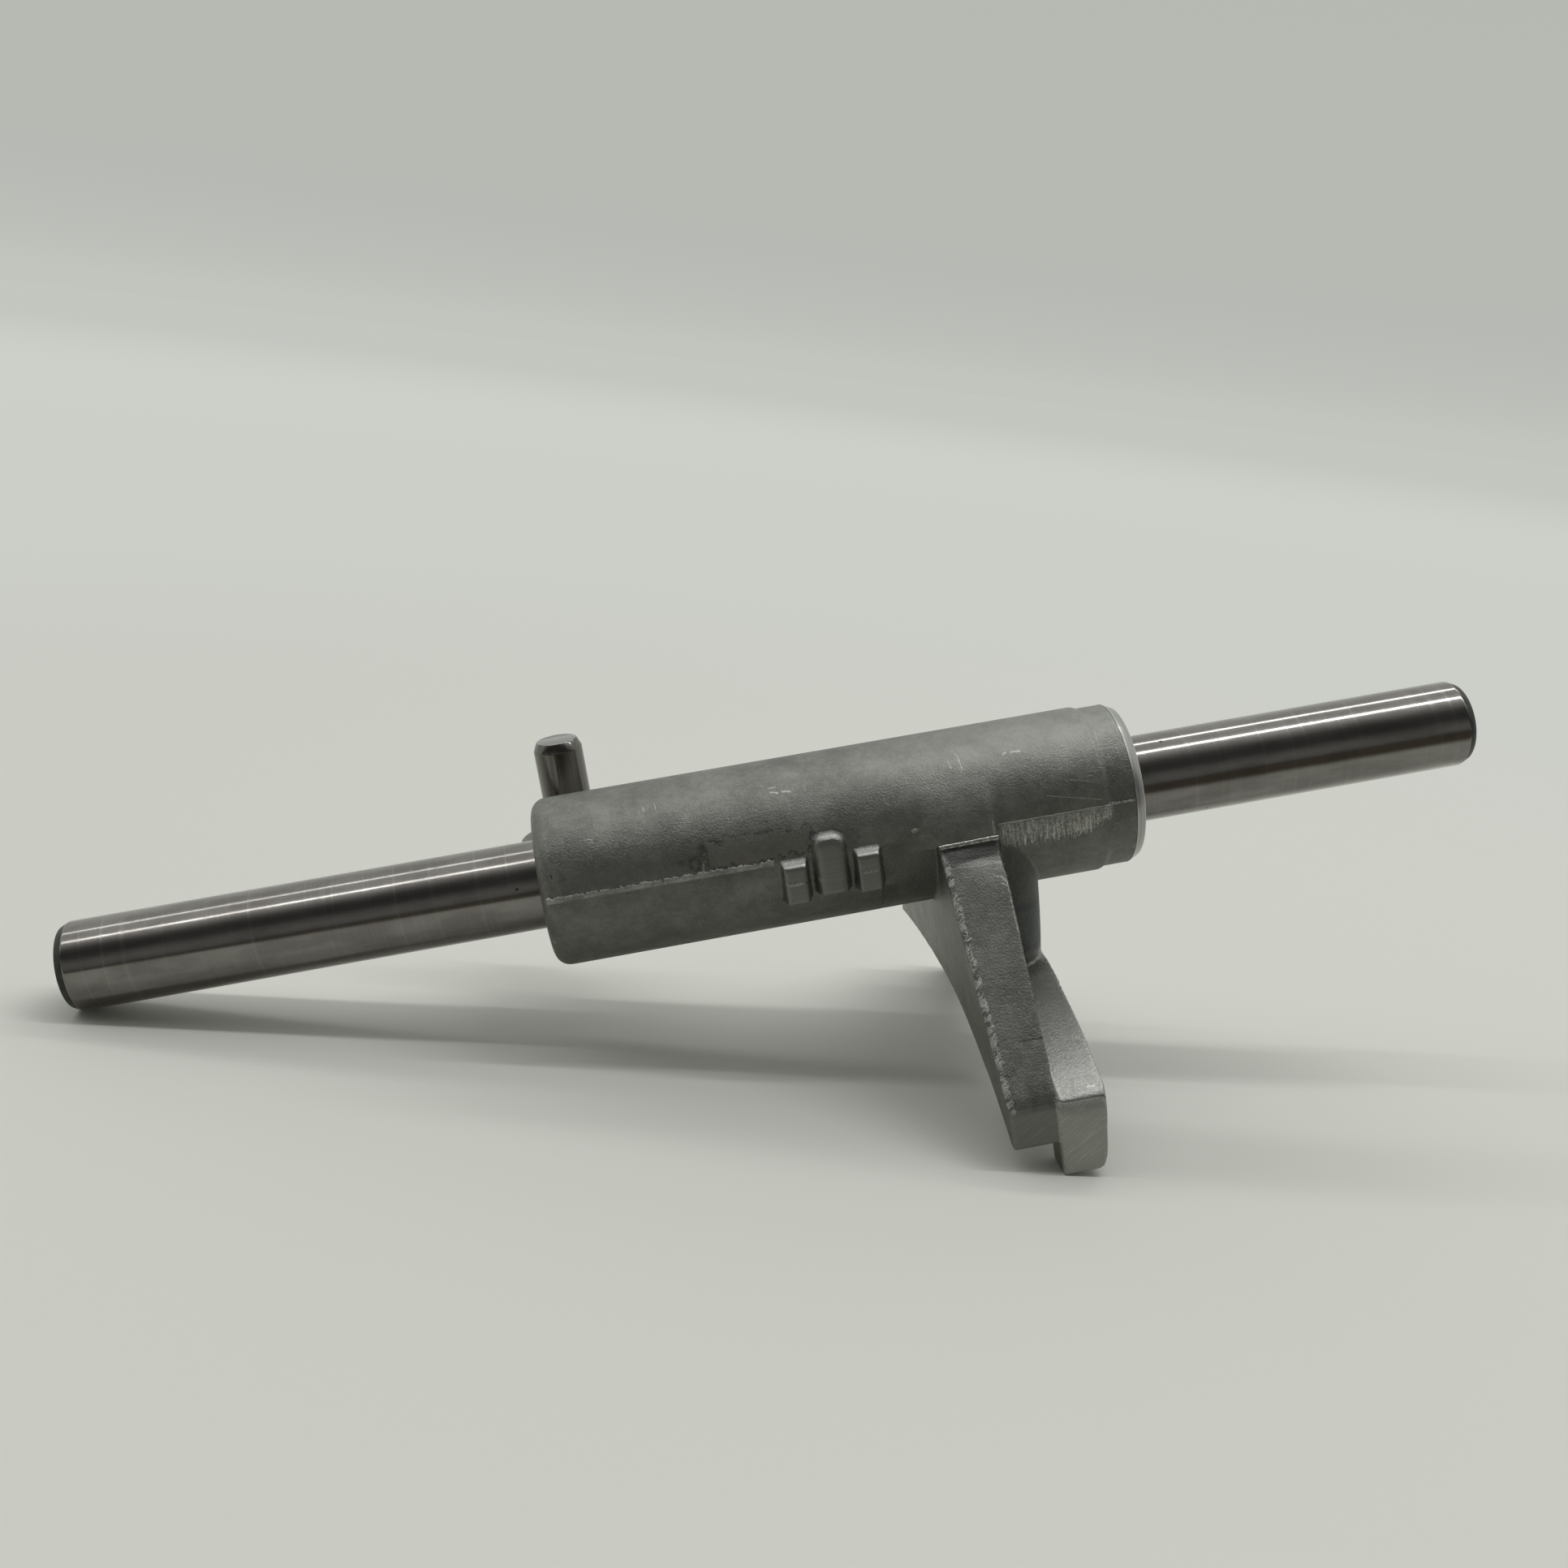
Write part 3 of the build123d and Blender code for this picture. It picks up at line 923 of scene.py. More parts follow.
def railMaterial():
    # Ground bar: fine rings round it, cloudy patches and small pits
    material, tree, shader = newMaterial("groundSteel")
    coords = layoutCoords(tree)
    x, y, z = axesOf(tree, coords)
    turn = mathNode(tree, "ARCTAN2", y, z)
    wrapped = joined(tree, times(tree, turn, railLook["radius"]), scaled(tree, turn, railLook["slant"], x))
    rings = toolLines(tree, wrapped, railLook["ringPitch"], railLook["ringLength"])
    cloud = drawnNoise(tree, coords, railLook["clouds"], 4.0, 0.6)
    colour = mixColour(tree, ramp(tree, cloud, 0.35, 0.65), steelLook["base"], steelLook["shade"])
    colour = laid(tree, colour, steelLook["ring"], rings["Bright"], railLook["rings"])
    inputs = {"Vector": coords, "Scale": railLook["pitScale"], "Randomness": 1.0}
    pits = wired(tree, "ShaderNodeTexVoronoi", inputs)
    pit = ramp(tree, pits["Distance"], *railLook["pitSizes"], 1.0, 0.0)
    colour = laid(tree, colour, steelLook["pit"], pit, railLook["pits"])
    rough = scaled(tree, cloud, 0.10, steelLook["roughness"] - 0.05)
    rough = scaled(tree, rings["Bright"], 0.05, rough)
    rough = scaled(tree, pit, 0.4, rough)
    makeMetal(tree, shader, colour, rough, bump(tree, rings["Height"], railLook["ringDepth"], 0.6))
    return material


def barEndMaterial():
    # Chamfers and end faces of the bar, dark from heat treatment
    material, tree, shader = newMaterial("darkenedSteel")
    tone = ramp(tree, noise(tree, layoutCoords(tree), 0.8, 4.0, 0.6), 0.35, 0.65)
    colour = mixColour(tree, tone, steelLook["endDark"], steelLook["endPale"])
    makeMetal(tree, shader, colour, scaled(tree, tone, 0.15, 0.38))
    return material


pinSizes = {
    "along": 5.1,
    "across": 18.0,
    "foot": -7.5,
    "top": 18.3,
    "radius": 4.0,
    "depth": 0.67,
    "length": 1.5,
    "soft": 0.12,
    "segments": 128,
}


def pinMaterial():
    # Ground pin: streaks down its length
    material, tree, shader = newMaterial("pinSteel")
    coords = layoutCoords(tree)
    lines = toolLines(tree, coords, 0.5, 40.0, math.pi / 2)
    rings = drawnNoise(tree, coords, (0.3, 0.3, 9.0), 3.0, 0.6)
    top = ramp(tree, axesOf(tree, coords)[2], pinSizes["top"] - 0.06, pinSizes["top"] - 0.02)
    colour = mixColour(tree, lines["Bright"], steelLook["pinDark"], steelLook["pinPale"])
    colour = mixColour(tree, top, colour, steelLook["pinTop"])
    rough = scaled(tree, rings, 0.12, 0.13)
    makeMetal(tree, shader, colour, rough, bump(tree, lines["Height"], 0.000008, 0.5))
    return material


castSkin = castMaterial()
tornFlash = flashMaterial()
brightBurr = shardMaterial()
turnedFace = turnedMaterial()
groundSteel = railMaterial()
darkSteel = barEndMaterial()
pinSteel = pinMaterial()
print("finishes made")

# The casting: a merged copy of the solid, voxel remeshed so its edges soften as a
# die casting's do, with the turned surfaces drawn true again and its relief raised.
castingLook = {
    "voxel": 0.30,
    "quickVoxel": 0.42,
    "triangles": 190000,
    "bossRadius": 13.3,
    "bossEnds": (2.6, 87.6),
    "collarRadius": 12.9,
    "collarEnds": (88.6, 92.3),
    "boreRadius": 7.02,
    "boreEnds": (0.4, 93.6),
    "nearFrom": (4, 7),
    "partingHeight": 1.05,
    "partingSoft": 0.15,
    "partingStep": 0.11,
    "partingFade": (35.5, 37.0),
    "pocketEnds": (51.9, 60.5),
    "pocketTop": 1.15,
    "pocketDrop": 0.9,
    "pocketSoft": 0.2,
    "pocketDepth": 0.32,
    "pocketCorner": 1.6,
    "flareEnds": (59.2, 69.9),
    "flareFoot": (-1.3, -0.95),
    "flareHeight": 8.5,
    "flareReach": 1.15,
    "recessEnds": (62.0, 69.6),
    "recessHeights": (-7.8, -0.9),
    "recessDepth": 1.9,
    "recessLift": 0.6,
    "tipEdge": (68.45, 68.75),
    "tipFrom": 38.5,
    "tipStep": 0.3,
    "padBase": (70.5, 75.5),
    "padEnd": 40.0,
    "padStart": (69.2, 69.8),
    "padTopRound": (1.5, 2.9),
    "padOuterRound": (0.6, 1.4),
    "padRounds": 60,
}


def meshObject(name, mesh):
    piece = bpy.data.objects.new(name, mesh)
    bpy.context.collection.objects.link(piece)
    return piece


def mergedCopy(node, name):
    mesh = nodes[node].data.copy()
    work = bmesh.new()
    work.from_mesh(mesh)
    bmesh.ops.remove_doubles(work, verts=work.verts, dist=0.000002)
    work.to_mesh(mesh)
    work.free()
    mesh.materials.clear()
    return meshObject(name, mesh)


def addModifier(piece, kind, **values):
    modifier = piece.modifiers.new(kind.lower(), kind)
    for key, value in values.items():
        setattr(modifier, key, value)
    return modifier


def applied(piece):
    # The piece with its modifiers turned into plain mesh
    graph = bpy.context.evaluated_depsgraph_get()
    mesh = bpy.data.meshes.new_from_object(piece.evaluated_get(graph))
    piece.modifiers.clear()
    piece.data = mesh
    return piece


def pointsOf(mesh):
    points = np.zeros(len(mesh.vertices) * 3)
    mesh.vertices.foreach_get("co", points)
    return points.reshape(-1, 3)


def shadeSmooth(mesh, angle=None):
    mesh.shade_smooth()
    if angle is not None:
        mesh.set_sharp_from_angle(angle=math.radians(angle))


def smoothStep(values, low, high):
    share = np.clip((values - low) / (high - low), 0, 1)
    return share * share * (3 - 2 * share)


def smoothBetween(values, low, high, soft=0.0, outside=0.0):
    # 1 between low and high, its edges soft inside and fading over outside
    rise = smoothStep(values, low - outside, low + soft)
    return rise * (1 - smoothStep(values, high - soft, high + outside))


def snapRadius(points, radius, ends, slack):
    # Draws points near a cylinder round the rail true to it, and says which they are
    reach = np.hypot(points[:, 1], points[:, 2])
    near = (np.abs(reach - radius) < slack) & (points[:, 0] > ends[0]) & (points[:, 0] < ends[1])
    scale = np.where(near, radius / np.maximum(reach, 1e-6), 1.0)
    points[:, 1:] *= scale[:, None]
    return near


def raiseRelief(points, onBoss):
    # Steps where the two halves of the die meet, and the flare above the web
    look = castingLook
    x, y, z = points.T
    reach = np.hypot(y, z)
    nearSide = smoothStep(-y, *look["nearFrom"]) * onBoss
    height, soft = look["partingHeight"], look["partingSoft"]
    rise = look["partingStep"] * smoothStep(z, height - soft, height + soft)
    rise *= 1 - smoothStep(x, *look["partingFade"])
    first, last = look["pocketEnds"]
    corner = np.clip(np.minimum(x - first, last - x) / look["pocketCorner"], 0, 1)
    pocketTop = look["pocketTop"] - look["pocketDrop"] * (1 - corner) ** 2
    pocket = smoothBetween(x, first, last, 0.1, 0.3)
    pocket *= 1 - smoothStep(z, pocketTop - look["pocketSoft"], pocketTop + look["pocketSoft"])
    rise -= look["pocketDepth"] * pocket
    first, last = look["flareEnds"]
    flare = smoothStep(x, first - 1.5, first + 1.5) * (1 - smoothStep(x, last - 0.15, last + 0.15))
    fade = np.clip(1 - z / look["flareHeight"], 0, 1) ** 1.25
    rise += look["flareReach"] * flare * fade * smoothStep(z, *look["flareFoot"])
    scale = 1 + rise * nearSide / np.maximum(reach, 1e-6)
    points[:, 1:] *= scale[:, None]


def easeRecess(points):
    # The dip at the near face's root, drawn shallower: its points rise towards the face
    look = castingLook
    x, y, z = points.T
    level, height = nearFace["rootLeft"][1:]
    depth = -((y - level) * nearFace["away"][1] + (z - height) * nearFace["away"][2])
    first, last = look["recessEnds"]
    share = smoothStep(x, first - 0.7, first) * (1 - smoothStep(x, last, last + 0.4))
    low, high = look["recessHeights"]
    share *= smoothStep(z, low - 0.5, low) * (1 - smoothStep(z, high, high + 0.4))
    lift = np.where((depth > 0) & (depth < look["recessDepth"]), depth, 0) * share * look["recessLift"]
    points[:, 1:] += lift[:, None] * np.array(nearFace["away"][1:])


def dressTips(points):
    # Each arm's inner tip stands back from the pad beside it, with a small step between
    look = castingLook
    x, y = points[:, :2].T
    past = np.maximum(np.abs(y) - look["tipFrom"], 0)
    points[:, 1] -= np.sign(y) * past * look["tipStep"] * (1 - smoothStep(x, *look["tipEdge"]))


def roundPads(piece):
    # Softens the worn top and outer edges of the pads' ground ends
    x, y, z = pointsOf(piece.data).T
    reach = np.abs(y)
    end = castingLook["padEnd"]
    first, last = castingLook["padBase"]
    ground = (reach > end - 0.2) & (x > first) & (x < last)
    top = z[ground].max()
    outer = x[(reach > end - 0.2) & (z < top - 3) & (z > top - 6)].max()
    nearTop = 1 - smoothStep(np.hypot(reach - end, z - top), *castingLook["padTopRound"])
    nearOuter = 1 - smoothStep(np.hypot(reach - end, x - outer), *castingLook["padOuterRound"])
    share = np.maximum(nearTop * smoothStep(x, *castingLook["padStart"]), nearOuter * (z < top + 1))
    group = piece.vertex_groups.new(name="pads")
    for index in np.nonzero(share > 0.02)[0]:
        group.add([int(index)], float(share[index]), "REPLACE")
    addModifier(piece, "SMOOTH", factor=0.5, iterations=castingLook["padRounds"], vertex_group="pads")
    applied(piece)


def makeCasting():
    look = castingLook
    piece = mergedCopy("fork_casting", "forkCasting")
    piece.data.transform(layoutToRow.inverted())
    voxel = look["voxel"]
    addModifier(piece, "REMESH", mode="VOXEL", voxel_size=voxel)
    addModifier(piece, "SMOOTH", factor=0.5, iterations=3)
    applied(piece)
    roundPads(piece)
    mesh = piece.data
    points = pointsOf(mesh)
    onBoss = snapRadius(points, look["bossRadius"], look["bossEnds"], 0.2)
    snapRadius(points, look["collarRadius"], look["collarEnds"], 0.15)
    snapRadius(points, look["boreRadius"], look["boreEnds"], 0.2)
    raiseRelief(points, onBoss)
    easeRecess(points)
    dressTips(points)
    mesh.vertices.foreach_set("co", points.ravel())
    mesh.update()
    share = look["triangles"] / (2 * len(mesh.polygons))
    if share < 1:
        addModifier(piece, "DECIMATE", ratio=share)
        mesh = applied(piece).data
    mesh.transform(layoutToRow)
    shadeSmooth(mesh)
    mesh.materials.clear()
    mesh.materials.append(castSkin)
    print("casting faces:", len(mesh.polygons))
    return piece


def turnedPiece(name, profile, segments, materials, start=(0, 0, 0), axis=(1, 0, 0), closed=False, marks=()):
    # A piece turned from (distance along, radius) pairs. Closed profiles join end to
    # start, and others end on the axis. marks are the profile steps in second material.
    work = bmesh.new()
    direction = Vector(axis).normalized()
    side = direction.orthogonal().normalized()
    other = direction.cross(side)
    rings = []
    for distance, radius in profile:
        centre = Vector(start) + direction * distance
        if radius == 0:
            rings.append([work.verts.new(centre)])
            continue
        ring = []
        for step in range(segments):
            angle = 2 * math.pi * step / segments
            outward = side * math.cos(angle) + other * math.sin(angle)
            ring.append(work.verts.new(centre + outward * radius))
        rings.append(ring)
    pairs = list(zip(rings, rings[1:]))
    if closed:
        pairs.append((rings[-1], rings[0]))
    for index, (first, second) in enumerate(pairs):
        for step in range(segments):
            after = (step + 1) % segments
            if len(first) == 1:
                corners = (first[0], second[after], second[step])
            elif len(second) == 1:
                corners = (first[step], first[after], second[0])
            else:
                corners = (first[step], first[after], second[after], second[step])
            work.faces.new(corners).material_index = 1 if index in marks else 0
    bmesh.ops.recalc_face_normals(work, faces=work.faces)
    mesh = bpy.data.meshes.new(name)
    work.to_mesh(mesh)
    work.free()
    mesh.transform(layoutToRow)
    shadeSmooth(mesh, 24)
    for material in materials:
        mesh.materials.append(material)
    return meshObject(name, mesh)


def barProfile(size, start, end):
    # Chamfered bar profile with each corner eased by soft
    radius, depth, length, soft = (size[key] for key in ("radius", "depth", "length", "soft"))
    corners = [
        (0, 0),
        (0, radius - depth - soft),
        (soft * 0.3, radius - depth - soft * 0.3),
        (soft, radius - depth + soft * depth / length),
        (length - soft, radius - soft * depth / length),
        (length, radius - soft * 0.1),
        (length + soft, radius),
    ]
    first = [(start + inward, height) for inward, height in corners]
    return first + [(end - inward, height) for inward, height in reversed(corners)]


railSizes = {
    "start": -73.5,
    "end": 151.5,
    "radius": 7.0,
    "depth": 0.7,
    "length": 1.4,
    "soft": 0.15,
    "segments": 192,
    "darkSteps": (0, 1, 2, 3, 9, 10, 11, 12),  # chamfers and end faces
}
collarSizes = {
    "start": 92.45,
    "end": 94.03,
    "edge": 12.93,
    "lip": 12.17,
    "back": 12.2,
    "bore": 7.06,
    "thickness": 0.4,
    "ease": 0.06,
    "segments": 256,
}


def makeCollarFace():
    # Turned chamfer and end face of the boss, a thin closed ring on the casting
    size = collarSizes
    inside = size["end"] - size["thickness"]
    profile = [
        (size["start"], size["back"]),
        (size["start"], size["edge"]),
        (size["end"] - size["ease"], size["lip"] + size["ease"] / 2),
        (size["end"], size["lip"] - 0.04),
        (size["end"], size["bore"]),
        (inside, size["bore"]),
        (inside, size["back"] - 0.6),
    ]
    return turnedPiece("turnedCollar", profile, size["segments"], (turnedFace,), closed=True)


casting = makeCasting()
rail = turnedPiece(
    "groundRail",
    barProfile(railSizes, railSizes["start"], railSizes["end"]),
    railSizes["segments"],
    (groundSteel, darkSteel),
    marks=railSizes["darkSteps"],
)
dowel = turnedPiece(
    "dowelPin",
    barProfile(pinSizes, pinSizes["foot"], pinSizes["top"]),
    pinSizes["segments"],
    (pinSteel,),
    start=(pinSizes["along"], pinSizes["across"], 0),
    axis=(0, 0, 1),
)
collarFace = makeCollarFace()
print("bars turned")


# Burrs and flash, grown along paths by geometry nodes
def newPathTree(name, inputs):
    # A geometry tree whose first node turns the incoming mesh into a curve
    inputs = (("Geometry", "Geometry"), *inputs, ("Material", "Material"))
    tree, given, result = newGroup(name, inputs, (("Geometry", "Geometry"),), "GeometryNodeTree")
    curve = wired(tree, "GeometryNodeMeshToCurve", {"Mesh": given["Geometry"]})[0]
    return tree, given, result, curve


def finishTree(tree, given, result, geometry):
    real = wired(tree, "GeometryNodeRealizeInstances", {0: geometry})[0]
    inputs = {"Geometry": real, "Material": given["Material"]}
    plug(tree, wired(tree, "GeometryNodeSetMaterial", inputs)[0], result[0])
    return tree


seamShape = {"step": 0.14, "sides": 8, "swing": 4.0, "least": 0.05}


def makeSeamTree():
    # A flat ragged ribbon along a path, its width and edge broken by noise
    tree, given, result, curve = newPathTree(
        "raggedSeam",
        (
            ("Width", "Float", 1.0),
            ("Flatness", "Float", 0.2),
            ("Ragged", "Float", 0.5),
            ("Tooth", "Float", 0.8),
            ("Outward", "Vector", (0.0, -1.0, 0.0)),
            ("Seed", "Float", 0.0),
        ),
    )
    inputs = {"Curve": curve, "Length": seamShape["step"]}
    even = wired(tree, "GeometryNodeResampleCurve", inputs, mode="LENGTH")[0]
    capture = addNode(tree, "GeometryNodeCaptureAttribute", domain="POINT")
    capture.capture_items.new("VECTOR", "Core")
    plug(tree, even, capture.inputs["Geometry"])
    plug(tree, wired(tree, "GeometryNodeInputPosition", {})[0], capture.inputs[1])
    core = capture.outputs[1]
    inputs = {"Resolution": seamShape["sides"], "Radius": times(tree, given["Width"], 0.5)}
    profile = wired(tree, "GeometryNodeCurvePrimitiveCircle", inputs)[0]
    inputs = {"Curve": capture.outputs["Geometry"], "Profile Curve": profile, "Fill Caps": True}
    swept = wired(tree, "GeometryNodeCurveToMesh", inputs)[0]

    # Pressed flat against the boss
    offset = vectorNode(tree, "SUBTRACT", wired(tree, "GeometryNodeInputPosition", {})[0], core)
    sunk = vectorNode(tree, "DOT_PRODUCT", offset, given["Outward"])
    flatten = times(tree, sunk, minus(tree, given["Flatness"], 1.0))
    flat = vectorNode(tree, "ADD", offset, vectorNode(tree, "SCALE", given["Outward"], flatten))

    # The upper edge torn by noise
    inputs = {"Vector": core, "W": given["Seed"], "Scale": given["Tooth"], "Detail": 5.0, "Roughness": 0.7}
    rough = wired(tree, "ShaderNodeTexNoise", inputs, noise_dimensions="4D")["Fac"]
    swing = times(tree, minus(tree, rough, 0.5), given["Ragged"])
    grow = most(tree, scaled(tree, swing, seamShape["swing"], 1.0), seamShape["least"])
    isUpper = mathNode(tree, "GREATER_THAN", axesOf(tree, offset)["Z"], 0.0)
    spread = scaled(tree, isUpper, minus(tree, grow, 1.0), 1.0)
    moved = vectorNode(tree, "ADD", core, vectorNode(tree, "SCALE", flat, spread))
    ribbon = wired(tree, "GeometryNodeSetPosition", {"Geometry": swept, "Position": moved})[0]
    return finishTree(tree, given, result, ribbon)


def randomVector(tree, low, high, seed):
    inputs = {0: low, 1: high, "Seed": seed}
    return wired(tree, "FunctionNodeRandomValue", inputs, data_type="FLOAT_VECTOR")[0]


shardShape = {"sides": 5, "swing": 0.35, "smallest": (0.35, 0.35, 0.15), "largest": (1.2, 1.0, 1.3)}


def makeBurrTree():
    # Small torn shards scattered along a path
    tree, given, result, curve = newPathTree(
        "burrRow",
        (
            ("Spacing", "Float", 0.5),
            ("Length", "Float", 0.8),
            ("Thickness", "Float", 0.25),
            ("Scatter", "Float", 0.3),
            ("Lean", "Vector", (0.0, 0.0, 0.0)),
            ("Seed", "Int", 1),
        ),
    )
    inputs = {"Curve": curve, "Length": given["Spacing"]}
    points = wired(tree, "GeometryNodeCurveToPoints", inputs, mode="LENGTH")["Points"]
    jitter = randomVector(tree, (-1, -1, -1), (1, 1, 1), given["Seed"])
    inputs = {"Geometry": points, "Offset": vectorNode(tree, "SCALE", jitter, given["Scatter"])}
    scattered = wired(tree, "GeometryNodeSetPosition", inputs)[0]
    inputs = {"Vertices": shardShape["sides"], "Radius Bottom": given["Thickness"], "Depth": given["Length"]}
    shard = wired(tree, "GeometryNodeMeshCone", inputs)["Mesh"]
    swingTo = shardShape["swing"]
    swing = randomVector(tree, (-swingTo,) * 3, (swingTo,) * 3, plus(tree, given["Seed"], 7))
    leaning = vectorNode(tree, "ADD", swing, given["Lean"])
    size = randomVector(tree, shardShape["smallest"], shardShape["largest"], plus(tree, given["Seed"], 13))
    inputs = {
        "Points": scattered,
        "Instance": shard,
        "Rotation": wired(tree, "FunctionNodeEulerToRotation", {0: leaning})[0],
        "Scale": size,
    }
    return finishTree(tree, given, result, wired(tree, "GeometryNodeInstanceOnPoints", inputs)[0])


def grown(name, path, tree, values):
    # A path of layout points run through a geometry tree and turned into plain mesh
    mesh = bpy.data.meshes.new(name)
    mesh.from_pydata(path, [(i, i + 1) for i in range(len(path) - 1)], [])
    piece = meshObject(name, mesh)
    modifier = addModifier(piece, "NODES", node_group=tree)
    for socket in tree.interface.items_tree:
        if socket.in_out == "INPUT" and socket.name in values:
            modifier[socket.identifier] = values[socket.name]
    applied(piece)
    piece.data.transform(layoutToRow)
    return piece


def bossPath(first, last, heights, lift=0.0, steps=12):
    # Points on the near side of the boss, rising evenly from one height to another
    radius = castingLook["bossRadius"] + lift
    points = []
    for step in range(steps + 1):
        share = step / steps
        z = heights[0] + (heights[1] - heights[0]) * share
        points.append((first + (last - first) * share, -math.sqrt(radius**2 - z**2), z))
    return points


def facePath(side, shares, outward, inward):
    # Points down one edge of the near face, a share of 0 at its root and 1 at its tip
    start, end = Vector(nearFace["root" + side]), Vector(nearFace["tip" + side])
    aside = Vector((1 if side == "Left" else -1, 0, 0)) * inward
    shift = Vector(nearFace["away"]) * outward + aside
    return [tuple(start + (end - start) * share + shift) for share in shares]


seams = {
    "partingFlashLeft": {
        "path": bossPath(0.9, 35.5, (1.38, 1.22), 0.03),
        "values": {"Width": 1.02, "Flatness": 0.34, "Ragged": 1.0, "Tooth": 1.5, "Seed": 3.0},
    },
    "partingSpike": {
        "path": bossPath(24.7, 25.0, (1.4, 3.0), 0.0, 4),
        "values": {"Width": 0.5, "Flatness": 0.6, "Ragged": 0.6, "Tooth": 1.6, "Seed": 4.0},
    },
    "partingFlashRight": {
        "path": bossPath(70.2, 88.2, (0.98, 0.93), 0.02),
        "values": {"Width": 0.34, "Flatness": 0.6, "Ragged": 0.5, "Tooth": 1.3, "Seed": 5.0},
    },
    "partingFlashCollar": {
        "path": bossPath(88.5, 92.2, (0.95, 0.95), -0.36, 4),
        "values": {"Width": 0.42, "Flatness": 0.6, "Ragged": 0.9, "Tooth": 1.8, "Seed": 6.0},
    },
    "pocketFlash": {
        "path": bossPath(57.0, 59.4, (2.2, 2.5), -0.05, 4),
        "values": {"Width": 0.8, "Flatness": 0.3, "Ragged": 0.9, "Tooth": 1.2, "Seed": 7.0},
    },
    "webRootFlash": {
        "path": bossPath(60.6, 69.9, (-0.7, -0.58), 1.06),
        "values": {"Width": 0.95, "Flatness": 0.95, "Ragged": 0.25, "Tooth": 1.1, "Seed": 8.0},
        "material": brightBurr,
    },
}
burrs = {
    "nearEdgeBurrs": {
        "path": facePath("Left", (0.10, 0.4, 0.7, 0.985), -0.06, 0.38),
        "values": {"Spacing": 0.2, "Length": 0.9, "Thickness": 0.12, "Scatter": 0.22, "Seed": 11},
        "lean": (-0.36, 1.07, 0.0),
    },
    "rightEdgeBurrs": {
        "path": facePath("Right", (0.1, 0.45), -0.05, 0.1),
        "values": {"Spacing": 0.5, "Length": 0.5, "Thickness": 0.1, "Scatter": 0.12, "Seed": 21},
        "lean": (0.9, -0.2, 0.0),
    },
    "collarBurrs": {
        "path": bossPath(86.5, 92.0, (1.0, 1.1), -0.1, 5),
        "values": {"Spacing": 0.55, "Length": 0.9, "Thickness": 0.14, "Scatter": 0.18, "Seed": 31},
        "lean": (0.1, 1.5, 0.0),
    },
}


def growFlash():
    seamTree = makeSeamTree()
    burrTree = makeBurrTree()
    pieces = []
    for name, seam in seams.items():
        values = dict(seam["values"], Material=seam.get("material", tornFlash))
        pieces.append(grown(name, seam["path"], seamTree, values))
    for name, burr in burrs.items():
        values = dict(burr["values"], Lean=burr["lean"], Material=brightBurr)
        pieces.append(grown(name, burr["path"], burrTree, values))
    return pieces


flashPieces = growFlash()
print("flash grown:", {piece.name: len(piece.data.polygons) for piece in flashPieces})

# Floor: one wide pale disc, evened out far from the piece. Distances are in metres.
floorLook = {
    "radius": 12.0,
    "albedo": (0.80, 0.81, 0.76, 1),
    "roughness": 0.85,
    "gloss": 0.15,
    "evenStart": 0.18,
    "evenEnd": 0.55,
    "near": (0.604, 0.617, 0.578, 1),
    "band": (0.617, 0.638, 0.591, 1),
    "bandStart": 0.9,
    "bandEnd": 2.0,
    "far": (0.550, 0.566, 0.527, 1),
    "farStart": 1.3,
    "farEnd": 4.5,
    # front: colour of the painted shade the floor shows in metal
    "front": (0.088, 0.074, 0.058, 1),
    "frontSpan": (-0.05, -0.18),
    "underSpan": (0.08, 0.0),
    "underDim": 0.34,
}


def seenDirectly(tree):
    # 1 on rays that show the background itself: camera, glossy and transmission
    path = addNode(tree, "ShaderNodeLightPath").outputs
    return most(tree, path["Is Camera Ray"], path["Is Glossy Ray"], path["Is Transmission Ray"])


def mixShader(tree, factor, first, second):
    return wired(tree, "ShaderNodeMixShader", {"Fac": factor, 1: first, 2: second})[0]


def floorMaterial():
    look = floorLook
    material, tree, shader = newMaterial("paleFloorPaint")
    shader.inputs["Base Color"].default_value = look["albedo"]
    shader.inputs["Roughness"].default_value = look["roughness"]
    shader.inputs["Specular IOR Level"].default_value = look["gloss"]
    place = addNode(tree, "ShaderNodeTexCoord").outputs["Object"]
    away = vectorNode(tree, "LENGTH", place)
    toBand = ramp(tree, away, look["bandStart"], look["bandEnd"])
    toFar = ramp(tree, away, look["farStart"], look["farEnd"])
    colour = mixColour(tree, toFar, mixColour(tree, toBand, look["near"], look["band"]), look["far"])
    glow = wired(tree, "ShaderNodeEmission", {"Color": colour})[0]
    even = times(tree, ramp(tree, away, look["evenStart"], look["evenEnd"]), seenDirectly(tree))
    surface = mixShader(tree, even, shader.outputs[0], glow)

    # In metal the floor shows painted shade under the piece and towards the unlit front of the room
    y = axesOf(tree, place)["Y"]
    underShade = ramp(tree, y, *look["underSpan"], 0.0, look["underDim"])
    front = most(tree, underShade, ramp(tree, y, *look["frontSpan"]))
    inMetal = addNode(tree, "ShaderNodeLightPath").outputs["Is Glossy Ray"]
    dim = wired(tree, "ShaderNodeEmission", {"Color": look["front"]})[0]
    surface = mixShader(tree, times(tree, front, inMetal), surface, dim)
    output = next(node for node in tree.nodes if node.type == "OUTPUT_MATERIAL")
    plug(tree, surface, output.inputs["Surface"])
    return material


def makeFloor():
    work = bmesh.new()
    bmesh.ops.create_circle(work, cap_ends=True, segments=128, radius=floorLook["radius"])
    mesh = bpy.data.meshes.new("paleFloor")
    work.to_mesh(mesh)
    work.free()
    mesh.materials.append(floorMaterial())
    meshObject("paleFloor", mesh)


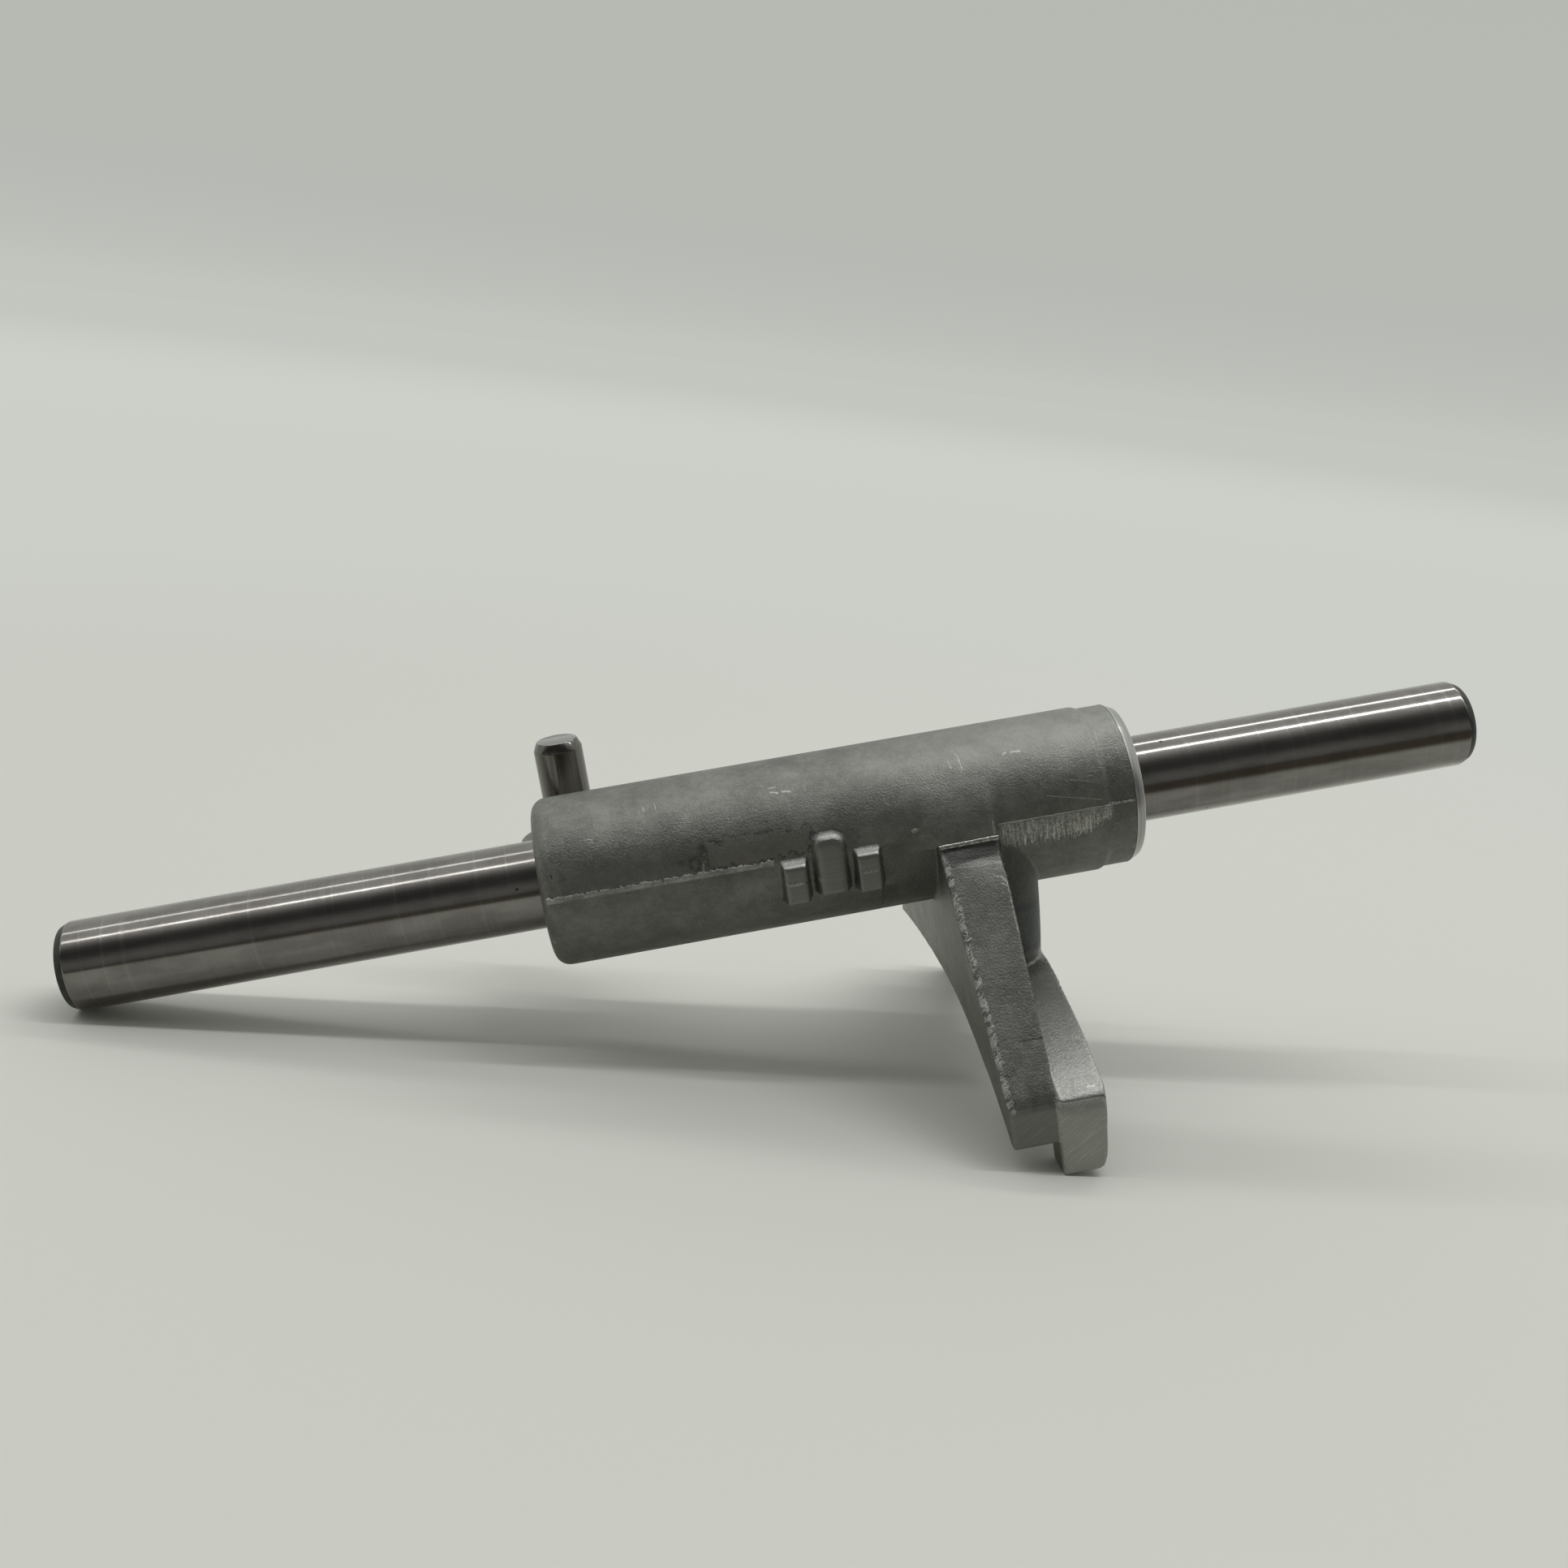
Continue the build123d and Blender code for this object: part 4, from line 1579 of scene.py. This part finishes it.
# Light: two long strips along the piece, one overhead and one behind, in a pale room
# that is dark at the front
lamps = {
    "overheadLeft": {"angle": -5.0, "middle": -0.62, "length": 1.40, "watts": 1.7},
    "overheadRight": {"angle": -2.0, "middle": 0.50, "length": 0.84, "watts": 2.3},
    "behindLeft": {"angle": 29.0, "middle": -0.62, "length": 1.40, "watts": 0.95},
    "behindRight": {"angle": 29.0, "middle": 0.50, "length": 0.84, "watts": 1.3},
}
lampShape = {"distance": 1.1, "width": 0.045, "aim": (0.0, 0.0, 0.04)}


def makeLamps():
    for name, lamp in lamps.items():
        data = bpy.data.lights.new(name, "AREA")
        data.shape = "RECTANGLE"
        data.size = lamp["length"]
        data.size_y = lampShape["width"]
        data.energy = lamp["watts"]
        light = bpy.data.objects.new(name, data)
        angle = math.radians(lamp["angle"])
        away = Vector((0, math.sin(angle), math.cos(angle))) * lampShape["distance"]
        place = Vector(lampShape["aim"]) + Vector((lamp["middle"], 0, 0)) + away
        light.matrix_world = Matrix.Translation(place) @ Matrix.Rotation(-angle, 4, "X")
        bpy.context.collection.objects.link(light)


# Light of the room by the angle from the front horizon over the top to the back, in
# degrees, and the sky that the camera itself sees by height
roomLight = {
    0: 0.08,
    5: 0.17,
    16: 0.19,
    25: 0.14,
    34: 0.068,
    46: 0.06,
    57: 0.095,
    66: 0.24,
    80: 0.62,
    110: 0.64,
    130: 0.58,
    150: 0.60,
    180: 0.60,
}
roomTint = (1.0, 1.01, 0.965)
skySeen = {
    0.0: (0.540, 0.556, 0.517),
    0.014: (0.515, 0.530, 0.493),
    0.035: (0.490, 0.505, 0.470),
    0.06: (0.474, 0.490, 0.455),
    0.09: (0.470, 0.489, 0.450),
    0.17: (0.474, 0.491, 0.451),
    0.6: (0.44, 0.456, 0.42),
}


def colourRamp(tree, value, stops):
    node = addNode(tree, "ShaderNodeValToRGB")
    plug(tree, value, node.inputs["Fac"])
    elements = node.color_ramp.elements
    while len(elements) > 1:
        elements.remove(elements[-1])
    for index, (place, colour) in enumerate(stops.items()):
        element = elements[0] if index == 0 else elements.new(place)
        element.position = place
        element.color = (*colour, 1)
    return node.outputs["Color"]


def makeWorld():
    world = bpy.data.worlds.new("room")
    bpy.context.scene.world = world
    world.use_nodes = True
    tree = world.node_tree
    tree.nodes.clear()
    axes = axesOf(tree, addNode(tree, "ShaderNodeTexCoord").outputs["Generated"])
    angle = mathNode(tree, "ARCTAN2", axes["Z"], times(tree, axes["Y"], -1.0))
    stops = {degrees / 180: [value * tint for tint in roomTint] for degrees, value in roomLight.items()}
    light = colourRamp(tree, mathNode(tree, "DIVIDE", angle, math.pi), stops)
    seen = colourRamp(tree, axes["Z"], skySeen)
    direct = addNode(tree, "ShaderNodeLightPath").outputs["Is Camera Ray"]
    inputs = {"Color": mixColour(tree, direct, light, seen), "Strength": 1.0}
    background = wired(tree, "ShaderNodeBackground", inputs)[0]
    plug(tree, background, addNode(tree, "ShaderNodeOutputWorld").inputs[0])


makeFloor()
makeLamps()
makeWorld()
bpy.context.scene.view_settings.view_transform = "Standard"
print("stage lit")

castPieces = [casting, collarFace] + flashPieces
for piece in castPieces + [rail, dowel]:
    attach(piece, "root")
for piece in castPieces:
    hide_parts("fork_casting")
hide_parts("shift_rail")
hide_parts("guide_pin")
